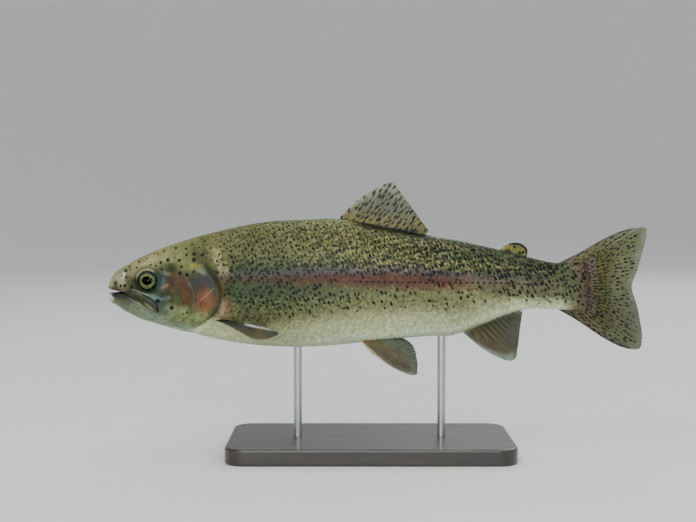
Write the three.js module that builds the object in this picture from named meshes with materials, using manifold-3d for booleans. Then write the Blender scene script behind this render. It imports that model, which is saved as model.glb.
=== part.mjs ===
// Rainbow trout as a still, life-size museum model on a plain two-rod stand.
// Millimetres, +Z up. The fish faces -X and its left side faces -Y. The origin is on the surface
// that the stand rests on, under the middle of the fish.
// Body outlines are given in the fish's own side view: x is the distance behind the snout tip and
// z the height above the body axis, a level line through the snout and the tail fork.

import * as THREE from "three";
import { mergeVertices } from "three/addons/utils/BufferGeometryUtils.js";
import Module from "manifold-3d";

const wasm = await Module();
wasm.setup();

// ---- Driving dimensions ----
const TOTAL_LENGTH = 400; // snout tip to the longest tail-fin ray
const BODY_LENGTH = 357; // snout tip to the end of the fleshy tail base
const AXIS_HEIGHT = 125; // body axis above the surface under the stand
const GAP = 0.3; // clearance between neighbouring solids
const SNOUT_CAP = 3.5; // depth of the blunt front of the snout, seen from the side
const SNOUT_CAP_WIDTH = 8; // the same, seen from above
const TAIL_CAP = 3; // depth of the rounded end of the tail base
const RINGS = 45; // cross-sections along the body
const RING_SIDES = 32; // corners of a cross-section
const TAIL_SWING = 6; // how far the tail tip swings to the fish's right
const SWING_START = 190; // where the swing begins, behind the snout

// ---- Colours, as sRGB ----
const COLOURS = {
  back: 0x6b6f45,
  jaw: 0xa9ab8c,
  cheek: 0x9a6a58,
  fin: 0x8a8253,
  pale_fin: 0x8d7a55,
  eye: 0x6f7436,
  base: 0x2b2a29,
  rod: 0xb7b7b2,
};

// ---- Body form ----
// Each station: x, height of the back, depth of the belly, half width, height of the widest level,
// and the exponent of the cross-section's superellipse.
const STATIONS = [
  [0, 7.5, -12.5, 7, -3, 2.3],
  [5, 9.8, -14.2, 8.8, -3.2, 2.3],
  [12, 13.8, -18.8, 11, -3.6, 2.35],
  [23, 20, -24.4, 13.8, -4.2, 2.4],
  [38, 26.7, -28.9, 16.8, -5, 2.35],
  [60, 34.2, -35, 20.6, -5.4, 2.25],
  [82, 40.1, -40.6, 23, -5, 2.2],
  [115, 46.7, -45.2, 25, -4, 2.15],
  [149, 48.7, -45.9, 25.5, -3, 2.15],
  [170, 49.2, -44.7, 24.8, -2.4, 2.15],
  [200, 43, -41.3, 22.4, -2, 2.15],
  [238, 36.4, -38.2, 18.2, -1.6, 2.15],
  [255, 33.9, -37.6, 15.9, -1.4, 2.15],
  [275, 29.8, -29.8, 13.2, -0.6, 2.1],
  [305, 22.6, -18.9, 9.4, 1, 2.1],
  [331, 16.6, -18.5, 6.8, -0.4, 2.1],
  [346, 17, -19.6, 5, -1, 2.05],
  [357, 18, -20.4, 2.6, -1.2, 2],
];
const bodyForm = new THREE.CubicInterpolant(
  STATIONS.map((station) => station[0]),
  STATIONS.flatMap((station) => station.slice(1)),
  5,
);

// How far a round cap has opened at a depth behind its tip, from 0 to 1.
function capOpening(depth, capDepth) {
  const left = 1 - Math.min(Math.max(depth / capDepth, 0), 1);
  return Math.sqrt(1 - left * left);
}

// The body's cross-section x behind the snout, grown all round by an offset.
function sectionAt(x, offset) {
  const within = Math.min(Math.max(x, 0), BODY_LENGTH);
  const [back, belly, half, level, power] = bodyForm.evaluate(within);
  const tail = capOpening(BODY_LENGTH + offset - x, TAIL_CAP + offset);
  const tall = capOpening(x + offset, SNOUT_CAP + offset) * tail;
  const wide = capOpening(x + offset, SNOUT_CAP_WIDTH + offset) * tail;
  return {
    up: (back - level + offset) * tall,
    down: (level - belly + offset) * tall,
    half: (half + offset) * wide,
    level,
    power,
  };
}

// ---- Solids ----
function solidOf(geometry) {
  const bare = geometry.clone();
  bare.deleteAttribute("normal");
  bare.deleteAttribute("uv");
  const merged = mergeVertices(bare, 1e-4);
  return new wasm.Manifold(
    new wasm.Mesh({
      numProp: 3,
      vertProperties: merged.attributes.position.array,
      triVerts: new Uint32Array(merged.index.array),
    }),
  );
}

// Moves every vertex of a geometry through a function of its position.
function reshape(geometry, move) {
  const place = geometry.attributes.position;
  const point = new THREE.Vector3();
  for (let i = 0; i < place.count; i++) {
    point.fromBufferAttribute(place, i);
    move(point);
    place.setXYZ(i, point.x, point.y, point.z);
  }
  return geometry;
}

// The whole body as one solid: a sphere's rings are carried to the body's cross-sections.
function bodySolid(offset = 0) {
  const sphere = new THREE.SphereGeometry(1, RING_SIDES, RINGS);
  sphere.rotateZ(Math.PI / 2);
  return solidOf(
    reshape(sphere, (p) => {
      const x = ((1 + p.x) / 2) * (BODY_LENGTH + 2 * offset) - offset;
      const { up, down, half, level, power } = sectionAt(x, offset);
      const ring = Math.hypot(p.y, p.z) || 1;
      const rise = p.z / ring;
      const side = p.y / ring;
      const bulge = (v) => Math.sign(v) * Math.abs(v) ** (2 / power);
      const open = ring === 1 && p.y === 0 && p.z === 0 ? 0 : 1;
      p.set(x, half * bulge(side) * open, level + (rise > 0 ? up : down) * bulge(rise) * open);
    }),
  );
}

// A closed outline in the side view, smooth through its points.
function smoothOutline(points, samples) {
  const path = points.map(([x, z]) => new THREE.Vector3(x, z, 0));
  return new THREE.CatmullRomCurve3(path, true, "centripetal")
    .getPoints(samples)
    .slice(0, -1)
    .map((p) => new THREE.Vector2(p.x, p.y));
}

// An outline moved outwards by a distance, for the recess around a plate.
function grownOutline(outline, distance) {
  const turn = THREE.ShapeUtils.isClockWise(outline) ? -1 : 1;
  return outline.map((point, i) => {
    const before = outline.at(i - 1);
    const after = outline[(i + 1) % outline.length];
    const along = after.clone().sub(before).normalize();
    return new THREE.Vector2(point.x + along.y * distance * turn, point.y - along.x * distance * turn);
  });
}

// A solid with the given side view, from one y to another.
function prism(outline, yFrom, yTo) {
  const extrusion = new THREE.ExtrudeGeometry(new THREE.Shape(outline), {
    depth: yTo - yFrom,
    bevelEnabled: false,
  });
  return solidOf(extrusion.rotateX(Math.PI / 2).translate(0, yTo, 0));
}

// A thin cutter that follows a line in the side view, right through the body. Each point of the
// line is x, z and the width of the cut there.
function ribbon(line, samples = 20) {
  const path = line.map(([x, z, width]) => new THREE.Vector3(x, z, width));
  const course = new THREE.CatmullRomCurve3(path, false, "centripetal").getPoints(samples);
  const edge = (side) =>
    course.map((point, i) => {
      const before = course[Math.max(i - 1, 0)];
      const after = course[Math.min(i + 1, samples)];
      const along = new THREE.Vector2(after.x - before.x, after.y - before.y).normalize();
      const reach = (side * point.z) / 2;
      return new THREE.Vector2(point.x - along.y * reach, point.y + along.x * reach);
    });
  return prism([...edge(1), ...edge(-1).reverse()], -CUT_REACH, CUT_REACH);
}
const CUT_REACH = 60; // half the length of a cutter across the body

function ellipsoid(centre, radii, sides) {
  const ball = new THREE.SphereGeometry(1, sides, Math.round(sides / 2));
  return solidOf(ball.scale(...radii).translate(...centre));
}

// The eyeball of one side, grown all round by an offset.
function eyeball(side, offset) {
  const ball = new THREE.SphereGeometry(1, EYE_SIDES, EYE_SIDES / 2 + 1);
  ball.rotateX(Math.PI / 2).scale(...EYE_RADII.map((radius) => radius + offset));
  const [x, y, z] = EYE_CENTRE;
  return solidOf(ball.rotateZ(-side * EYE_TURN).translate(x, side * y, z));
}

// ---- Head details ----
// The mouth: its line from the lips to the corner, a little open in front, and on down the throat.
const MOUTH_LINE = [
  [-4, -4.2, 3.2],
  [2, -4.3, 3],
  [6, -4.5, 2.4],
  [10, -4.9, 1.4],
  [14, -5.8, 0.6],
  [18, -8, GAP],
  [25, -11.8, GAP],
  [32.5, -16.2, GAP],
  [38, -19.5, GAP],
  [42.5, -24.5, GAP],
  [45.5, -30, GAP],
  [48, -37, GAP],
];
// The rear edge of the gill covers, from the nape to the throat.
const GILL_LINE = [
  [62, 47, GAP],
  [66, 33, GAP],
  [69, 24.5, GAP],
  [73.5, 16, GAP],
  [78.5, 8.8, GAP],
  [82.6, 2, GAP],
  [85, -4, GAP],
  [85.6, -9, GAP],
  [84.4, -14, GAP],
  [80.6, -19.6, GAP],
  [75.4, -24.4, GAP],
  [68, -29.6, GAP],
  [59, -35, GAP],
  [50, -42, GAP],
];
const TAIL_CUT_X = 292; // where the trunk is parted from the tail stalk
const GILL_COVER = [
  [60.5, 9.5],
  [64.5, 13.6],
  [70.5, 15],
  [75.6, 8.6],
  [79.6, 2],
  [82, -4.4],
  [82.4, -9.6],
  [81, -13.8],
  [77.2, -19],
  [72, -23.4],
  [65.5, -27.2],
  [61.8, -27.4],
  [64.2, -20],
  [66.2, -12],
  [65.6, -4.5],
  [63.4, 3],
];
const MAXILLA = [
  [12.2, -4.6],
  [16, -3.4],
  [21.5, -4.9],
  [27, -7.2],
  [32.7, -10.8],
  [36.6, -14.2],
  [37.6, -17.4],
  [35, -17.6],
  [30.5, -14.6],
  [24, -10.7],
  [17.6, -7.8],
];
const COVER_PROUD = 0.7; // how far a gill cover stands out of the head
const COVER_INSET = 1.6; // how deep it is let in
const MAXILLA_PROUD = 0.8;
const MAXILLA_INSET = 1.2;
const EYE_CENTRE = [30.6, 13.2, 4]; // the right eye's; the left mirrors it in y
const EYE_RADII = [7.9, 3.6, 7.9];
const EYE_TURN = THREE.MathUtils.degToRad(11); // the eyes face a little forwards
const EYE_SIDES = 16;
const NOSTRILS = [
  [11.9, 7.2, 1],
  [14, 6.6, 1.2],
]; // x, z and radius of each pit
const NOSTRIL_Y = 9.6;

// A thin plate let into both the head's sides: its two solids and the recess that holds them.
function sidePlates(points, proud, inset, samples) {
  const outline = smoothOutline(points, samples);
  const outer = bodySolid(proud);
  const inner = bodySolid(-inset);
  const shell = outer.subtract(inner);
  const left = shell.intersect(prism(outline, -CUT_REACH, 0));
  const right = shell.intersect(prism(outline, 0, CUT_REACH));
  const recess = prism(grownOutline(outline, GAP), -CUT_REACH, CUT_REACH).subtract(
    bodySolid(-inset - GAP),
  );
  return { left, right, recess };
}

// ---- Fins ----
// A thin blade with a side-view outline, thick at its root and fine at its rim.
function blade(points, samples, rootHalf, rimHalf, rootPoint, reach) {
  const flat = new THREE.ExtrudeGeometry(new THREE.Shape(smoothOutline(points, samples)), {
    depth: 2,
    bevelEnabled: false,
  });
  flat.rotateX(Math.PI / 2).translate(0, 1, 0);
  const [rootX, rootZ] = rootPoint;
  return reshape(flat, (p) => {
    const out = Math.min(Math.hypot(p.x - rootX, p.z - rootZ) / reach, 1);
    p.y *= rootHalf + (rimHalf - rootHalf) * out;
  });
}

const DORSAL_FIN = [
  [170.5, 48.6],
  [179.6, 59.2],
  [190.7, 67.8],
  [204.8, 75.4],
  [209.6, 76.6],
  [216.6, 68.4],
  [227, 54.2],
  [237.4, 39.9],
  [228, 39],
  [216, 34],
  [196, 38],
  [176, 42],
];
const ADIPOSE_FIN = [
  [287, 25.5],
  [294, 30.4],
  [300, 31.6],
  [306, 30],
  [309.8, 25.4],
  [309.4, 21.4],
  [303, 19],
  [292, 21],
];
const TAIL_FIN = [
  [330, 15.6],
  [346, 22.6],
  [361, 30],
  [372, 36.4],
  [386, 41.6],
  [397, 42.4],
  [400, 40.6],
  [397.4, 27],
  [392.6, 8],
  [389.2, -1.8],
  [393.6, -14],
  [396.4, -28],
  [395.6, -44],
  [392, -48.2],
  [380, -46],
  [366, -38.4],
  [350, -28],
  [332, -18.4],
  [340, 0],
];
const ANAL_FIN = [
  [262, -34.6],
  [275, -45.2],
  [286, -52.4],
  [296, -56.8],
  [301.6, -56.4],
  [304, -48],
  [305.4, -34],
  [307.4, -18.4],
  [290, -20],
  [268, -30],
];
const PELVIC_FIN = [
  [188, -43.5],
  [194, -49.5],
  [203, -56],
  [214, -62.6],
  [225, -66.8],
  [228.6, -65.4],
  [228.4, -56],
  [225, -44],
  [215, -38.5],
  [200, -37],
];
const PELVIC_ROOT_Y = 6.5; // distance of each pelvic fin's root from the middle
const PELVIC_SPLAY = THREE.MathUtils.degToRad(17);
// The pectoral fins lie in their own plane: x along the leading ray, z across the rays.
const PECTORAL_FIN = [
  [0, 1],
  [18, 2.4],
  [38, 2],
  [51, 0],
  [52.4, -2],
  [46, -8],
  [36, -15],
  [26, -19],
  [16, -18],
  [7, -11],
  [0, -5],
];
const PECTORAL_ROOT = [80, 18, -23.8]; // the right fin's; the left mirrors it in y
const PECTORAL_SWEEP = THREE.MathUtils.degToRad(25); // outwards from the flank
const PECTORAL_DROP = THREE.MathUtils.degToRad(8); // leading ray below level
const PECTORAL_TWIST = THREE.MathUtils.degToRad(54); // blade turned down towards level
const ROOT_HALF = 1.3; // half thickness of a fin at its root
const RIM_HALF = 0.4; // and at its rim

function pelvicFin(side) {
  const [rootX, rootZ] = [192, -40];
  const fin = blade(PELVIC_FIN, 30, ROOT_HALF, RIM_HALF, [rootX, rootZ], 40);
  fin.translate(-rootX, 0, -rootZ).rotateX(side * PELVIC_SPLAY);
  return fin.translate(rootX, side * PELVIC_ROOT_Y, rootZ);
}

function pectoralFin(side) {
  const fin = blade(PECTORAL_FIN, 30, ROOT_HALF, RIM_HALF, [0, 0], 50);
  fin.rotateX(-side * PECTORAL_TWIST).rotateY(PECTORAL_DROP).rotateZ(side * PECTORAL_SWEEP);
  const [x, y, z] = PECTORAL_ROOT;
  return fin.translate(x, side * y, z);
}

// ---- Stand ----
const BASE_LENGTH = 210;
const BASE_WIDTH = 104;
const BASE_HEIGHT = 12;
const BASE_CORNER = 14;
const BASE_BEVEL = 1.5;
const BASE_CENTRE_X = -6;
const ROD_RADIUS = 3;
const ROD_STATIONS = { front: 140, rear: 247 }; // behind the snout tip
const ROD_DEPTH = 9; // how far a rod runs up into the body
const ROD_SEAT = 5; // and down into the base
const ROD_SIDES = 18;

function roundedRectangle(length, width, radius) {
  const [x, y] = [length / 2, width / 2];
  const shape = new THREE.Shape();
  shape.absarc(x - radius, y - radius, radius, 0, Math.PI / 2);
  shape.absarc(radius - x, y - radius, radius, Math.PI / 2, Math.PI);
  shape.absarc(radius - x, radius - y, radius, Math.PI, 1.5 * Math.PI);
  shape.absarc(x - radius, radius - y, radius, 1.5 * Math.PI, 2 * Math.PI);
  return shape;
}

function baseSolid() {
  const plate = new THREE.ExtrudeGeometry(
    roundedRectangle(
      BASE_LENGTH - 2 * BASE_BEVEL,
      BASE_WIDTH - 2 * BASE_BEVEL,
      BASE_CORNER - BASE_BEVEL,
    ),
    {
      depth: BASE_HEIGHT - 2 * BASE_BEVEL,
      bevelThickness: BASE_BEVEL,
      bevelSize: BASE_BEVEL,
      bevelSegments: 2,
      curveSegments: 5,
    },
  );
  return solidOf(plate.translate(BASE_CENTRE_X, 0, BASE_BEVEL));
}

// A rod under the belly, in the part's own frame.
function rodSolid(station, radius, extra) {
  const [, belly] = bodyForm.evaluate(station);
  const top = AXIS_HEIGHT + belly + ROD_DEPTH + extra;
  const bottom = BASE_HEIGHT - ROD_SEAT - extra;
  const rod = new THREE.CylinderGeometry(radius, radius, top - bottom, ROD_SIDES);
  rod.rotateX(Math.PI / 2);
  return solidOf(rod.translate(station - TOTAL_LENGTH / 2, 0, (top + bottom) / 2));
}

// ---- Assembly ----
// From the fish's side view to the part's frame: the rear of the body swings a little to its right.
function pose(point) {
  const behind = Math.max(point.x - SWING_START, 0) / (TOTAL_LENGTH - SWING_START);
  point.y += TAIL_SWING * behind * behind;
  point.x -= TOTAL_LENGTH / 2;
  point.z += AXIS_HEIGHT;
}

function posed(solid) {
  return solidOf(reshape(geometryOf(solid), pose));
}

function geometryOf(solid) {
  const mesh = solid.getMesh();
  const place = new Float32Array(mesh.numVert * 3);
  for (let i = 0; i < mesh.numVert; i++)
    place.set(mesh.vertProperties.subarray(i * mesh.numProp, i * mesh.numProp + 3), i * 3);
  return new THREE.BufferGeometry()
    .setAttribute("position", new THREE.BufferAttribute(place, 3))
    .setIndex(new THREE.BufferAttribute(mesh.triVerts, 1));
}

const trout = new THREE.Group();

function addNode(name, solid, colour, roughness = 0.4, metalness = 0) {
  const geometry = geometryOf(solid).toNonIndexed();
  geometry.computeVertexNormals();
  const material = new THREE.MeshStandardMaterial({ color: COLOURS[colour], roughness, metalness });
  const mesh = new THREE.Mesh(geometry, material);
  mesh.name = name;
  trout.add(mesh);
}

function buildFlesh() {
  const covers = sidePlates(GILL_COVER, COVER_PROUD, COVER_INSET, 32);
  const maxillae = sidePlates(MAXILLA, MAXILLA_PROUD, MAXILLA_INSET, 24);
  const tailCut = ribbon([[TAIL_CUT_X, 60, GAP], [TAIL_CUT_X, -60, GAP]], 1);
  let flesh = bodySolid();
  for (const cutter of [ribbon(MOUTH_LINE), ribbon(GILL_LINE), tailCut, covers.recess, maxillae.recess])
    flesh = flesh.subtract(cutter);
  for (const side of [-1, 1]) {
    flesh = flesh.subtract(eyeball(side, GAP));
    for (const [pitX, pitZ, radius] of NOSTRILS)
      flesh = flesh.subtract(
        ellipsoid([pitX, side * NOSTRIL_Y, pitZ], [radius, 2 * radius, radius], 8),
      );
  }
  return { pieces: flesh.decompose(), covers, maxillae };
}

const { pieces, covers, maxillae } = buildFlesh();
const centreX = (solid) => (solid.boundingBox().min[0] + solid.boundingBox().max[0]) / 2;
const centreZ = (solid) => (solid.boundingBox().min[2] + solid.boundingBox().max[2]) / 2;
const large = pieces.filter((piece) => piece.volume() > 500).sort((a, b) => centreX(a) - centreX(b));
const tail = large.pop();
const trunkWhole = large.pop();
const [lowerJaw, head] = large.sort((a, b) => centreZ(a) - centreZ(b));

const rods = Object.entries(ROD_STATIONS).map(([place, station]) => ({
  place,
  solid: rodSolid(station, ROD_RADIUS, 0),
  bore: rodSolid(station, ROD_RADIUS + GAP, GAP),
}));
let trunk = posed(trunkWhole);
let base = baseSolid();
for (const rod of rods) {
  trunk = trunk.subtract(rod.bore);
  base = base.subtract(rod.bore);
}

addNode("head", posed(head), "back");
addNode("lower_jaw", posed(lowerJaw), "jaw");
addNode("trunk", trunk, "back");
addNode("tail_stalk", posed(tail), "back");
for (const [side, sign] of [["left", -1], ["right", 1]]) {
  addNode(`gill_cover_${side}`, posed(covers[side]), "cheek");
  addNode(`maxilla_${side}`, posed(maxillae[side]), "jaw");
  addNode(`eye_${side}`, posed(eyeball(sign, 0)), "eye", 0.1);
}

// A fin stops just short of the body it grows from.
const skinClearance = bodySolid(GAP);
const addFin = (name, geometry, colour) =>
  addNode(name, posed(solidOf(geometry).subtract(skinClearance)), colour);
addFin("dorsal_fin", blade(DORSAL_FIN, 36, ROOT_HALF, RIM_HALF, [196, 42], 34), "fin");
addFin("adipose_fin", blade(ADIPOSE_FIN, 24, ROOT_HALF, 0.7, [292, 22], 18), "fin");
addFin("tail_fin", blade(TAIL_FIN, 60, ROOT_HALF * 1.3, RIM_HALF, [345, -1], 52), "fin");
addFin("anal_fin", blade(ANAL_FIN, 32, ROOT_HALF, RIM_HALF, [278, -28], 28), "pale_fin");
for (const [side, sign] of [["left", -1], ["right", 1]]) {
  addFin(`pectoral_fin_${side}`, pectoralFin(sign), "pale_fin");
  addFin(`pelvic_fin_${side}`, pelvicFin(sign), "pale_fin");
}

addNode("stand_base", base, "base", 0.5);
for (const { place, solid } of rods) addNode(`stand_rod_${place}`, solid, "rod", 0.3, 1);

export default trout;
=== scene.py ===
"""Finishes the rainbow trout display model: one skin, scales, eyes, fins, stand and studio.

Shapes are worked out in the fish's own side view, in millimetres: x is the distance behind the
snout tip, z the height above the body axis and y the distance to the fish's right. place() turns
them into the frame's metres.
"""

import math
from functools import partial, reduce

import bmesh
import bpy
import numpy as np
from bpy.props import FloatProperty, FloatVectorProperty, IntProperty, PointerProperty
from mathutils import Matrix, Vector


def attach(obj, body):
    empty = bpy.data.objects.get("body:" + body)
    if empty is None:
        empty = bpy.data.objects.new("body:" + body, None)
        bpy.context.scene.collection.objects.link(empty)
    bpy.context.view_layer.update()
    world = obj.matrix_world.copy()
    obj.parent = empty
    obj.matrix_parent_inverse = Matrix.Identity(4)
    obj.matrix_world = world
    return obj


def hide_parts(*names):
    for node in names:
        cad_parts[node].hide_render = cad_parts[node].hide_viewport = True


bl_info = {
    "name": "Rainbow trout display model",
    "version": (1, 0, 0),
    "blender": (4, 5, 0),
    "location": "3D View > Sidebar > Trout",
    "description": "Skin, scales, eyes, fins and stand finishes for a life-size rainbow trout",
    "category": "Object",
}

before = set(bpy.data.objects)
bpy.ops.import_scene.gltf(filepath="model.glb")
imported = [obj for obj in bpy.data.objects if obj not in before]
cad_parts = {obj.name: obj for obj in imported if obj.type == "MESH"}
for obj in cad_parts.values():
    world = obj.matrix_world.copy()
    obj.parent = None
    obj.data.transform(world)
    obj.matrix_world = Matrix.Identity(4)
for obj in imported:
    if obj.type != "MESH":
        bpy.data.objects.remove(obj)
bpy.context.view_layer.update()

MM = 0.001
SIDES = {"left": -1, "right": 1}

# ---- The body's form, as in the solid model ----
TOTAL_LENGTH = 400.0
BODY_LENGTH = 357.0
AXIS_HEIGHT = 125.0
TAIL_SWING = 6.0
SWING_START = 190.0
SNOUT_CAP = 3.5
NOSE_CAP = 7.5
SNOUT_CAP_WIDTH = 8.0
TAIL_CAP = 3.0
# x, height of the back, of the belly, half width, height of the widest level, squareness
STATIONS = np.array(
    [
        (0, 7.5, -12.5, 7, -3, 2.3), (5, 9.8, -14.2, 8.8, -3.2, 2.3),
        (12, 13.8, -18.8, 11, -3.6, 2.35), (23, 20, -24.4, 13.8, -4.2, 2.4),
        (38, 26.7, -28.9, 16.8, -5, 2.35), (60, 34.2, -35, 20.6, -5.4, 2.25),
        (82, 40.1, -40.6, 23, -5, 2.2), (115, 46.7, -45.2, 25, -4, 2.15),
        (149, 48.7, -45.9, 25.5, -3, 2.15), (170, 49.2, -44.7, 24.8, -2.4, 2.15),
        (200, 43, -41.3, 22.4, -2, 2.15), (238, 36.4, -38.2, 18.2, -1.6, 2.15),
        (255, 33.9, -37.6, 15.9, -1.4, 2.15), (275, 29.8, -29.8, 13.2, -0.6, 2.1),
        (305, 22.6, -18.9, 9.4, 1, 2.1), (331, 16.6, -18.5, 6.8, -0.4, 2.1),
        (346, 17, -19.6, 4.3, -1, 2.05), (357, 18, -20.4, 1.5, -1.2, 2),
    ],
    float,
)

# ---- Lines of the head, x and z ----
# The mouth slit, with half its opening as a third number.
MOUTH = np.array(
    [
        (0, -4.3, 1.5), (3, -4.4, 1.45), (6, -4.6, 1.2), (10, -5, 0.75), (14, -6, 0.35),
        (18, -8, 0.2), (25, -11.7, 0.16), (32.5, -16.2, 0.12), (38, -19.8, 0.08),
    ]
)
MOUTH_CORNER = 38.0
MOUTH_REACH = 62.0  # where the columns of the skin are even again behind the mouth
MOUTH_DEPTH = 8.5
GILL_LINE = [
    (62, 47), (66, 33), (69, 24.5), (73.5, 16), (78.5, 8.8), (82.6, 2), (85, -4), (85.6, -9),
    (84.4, -14), (80.6, -19.6), (75.4, -24.4), (68, -29.6), (59, -35), (50, -42),
]
GILL_RING = 72.0  # the ring that follows the gill line
PREOPERCLE = [(58, 11), (61, 5), (64, -1), (65.5, -7), (65, -14), (62, -21), (55.5, -26), (46, -28)]
SUBOPERCLE = [(82, -2), (76, -6.5), (70, -12), (72.8, -20.3)]
SUBORBITAL = [(20, -3.6), (26, -5.2), (33, -7), (40, -9.4), (47, -8)]
MAXILLA = [
    (12.2, -4.9), (16, -3.4), (21.5, -4.7), (27, -7), (32.7, -10.6), (36.8, -14.4), (37.9, -18),
    (35.2, -18), (30.5, -15), (25, -11.7), (18, -7.9),
]
EYE = (30.6, 4.0)
EYE_DEPTH = 13.2  # of the eyeball's centre from the middle
EYE_TURN = math.radians(11)
NOSTRILS = [(11.8, 7.3, 1.0), (14.3, 6.5, 1.15)]
LATERAL_LINE = np.array([(80, 5.6), (143, 4.7), (200, 3.7), (252, 2.6), (289, 2.0), (357, -1.2)])


def srgb(code):
    """A hex colour as linear red, green and blue."""
    parts = [int(code[i : i + 2], 16) / 255 for i in (0, 2, 4)]
    return tuple(p / 12.92 if p <= 0.04045 else ((p + 0.055) / 1.055) ** 2.4 for p in parts)


def tone_of(code):
    return np.array(srgb(code))


def ease(low, high, value):
    """0 at low, 1 at high, smooth between."""
    t = np.clip((value - low) / (high - low), 0, 1)
    return t * t * (3 - 2 * t)


def span(value, low, start, end, high):
    """0 outside low and high, 1 from start to end, smooth between."""
    return ease(low, start, value) * ease(high, end, value)


def bell(value, width):
    return np.exp(-((value / width) ** 2))


def mix(a, b, share):
    """a and b, numbers or colours, mixed by a share for each point."""
    share = np.asarray(share)
    if 3 in np.shape(a)[-1:] + np.shape(b)[-1:]:
        share = share[..., None]
    return np.asarray(a) * (1 - share) + np.asarray(b) * share


def smooth_through(at, knots, values):
    """A smooth curve through the values at the knots, read at each place."""
    slope = np.diff(values) / np.diff(knots)
    inner = (slope[1:] + slope[:-1]) / 2
    tangent = np.concatenate([[slope[0]], inner, [slope[-1]]])
    i = np.clip(np.searchsorted(knots, at, side="right") - 1, 0, len(knots) - 2)
    span = knots[i + 1] - knots[i]
    t = np.clip((at - knots[i]) / span, 0, 1)
    rest = 1 - t
    ends = values[i] * rest**2 * (1 + 2 * t) + values[i + 1] * t**2 * (1 + 2 * rest)
    return ends + span * t * rest * (tangent[i] * rest - tangent[i + 1] * t)


def smooth_path(points, steps, closed=False):
    """A smooth polyline through the points."""
    points = np.array(points, float)
    if closed:
        points = np.vstack([points[-2:], points, points[:2]])
    knots = np.arange(len(points), dtype=float)
    low, high = (2, len(points) - 2) if closed else (0, len(points) - 1)
    at = np.linspace(low, high, steps, endpoint=not closed)
    return np.stack([smooth_through(at, knots, points[:, i]) for i in range(points.shape[1])], 1)


def near_line(x, z, line):
    """Distance to a polyline, positive on its front side where it runs downwards, and how far
    along the line the nearest point is, from 0 to 1."""
    best = np.full(np.shape(x), np.inf)
    signed = np.zeros(np.shape(x))
    along = np.zeros(np.shape(x))
    for i, (start, end) in enumerate(zip(line[:-1], line[1:])):
        run = end - start
        length2 = max(float(run @ run), 1e-9)
        t = np.clip(((x - start[0]) * run[0] + (z - start[1]) * run[1]) / length2, 0, 1)
        dx = x - start[0] - t * run[0]
        dz = z - start[1] - t * run[1]
        gap = np.hypot(dx, dz)
        side = np.where(run[0] * dz - run[1] * dx > 0, -1, 1)
        closer = gap < best
        best = np.where(closer, gap, best)
        signed = np.where(closer, side * gap, signed)
        along = np.where(closer, (i + t) / (len(line) - 1), along)
    return signed, along


def inside_plate(x, z, outline):
    """Distance to a closed outline, positive inside it."""
    ring = np.vstack([outline, outline[:1]])
    gap = np.abs(near_line(x, z, ring)[0])
    inside = np.zeros(np.shape(x), bool)
    for (x0, z0), (x1, z1) in zip(ring[:-1], ring[1:]):
        crosses = (z0 > z) != (z1 > z)
        rise = z1 - z0 if z1 != z0 else 1e-9
        inside ^= crosses & (x < x0 + (z - z0) * (x1 - x0) / rise)
    return np.where(inside, gap, -gap)


def cap(depth, reach):
    """How far a round end has opened at a depth behind its tip."""
    left = 1 - np.clip(depth / reach, 0, 1)
    return np.sqrt(1 - left * left)


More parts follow.
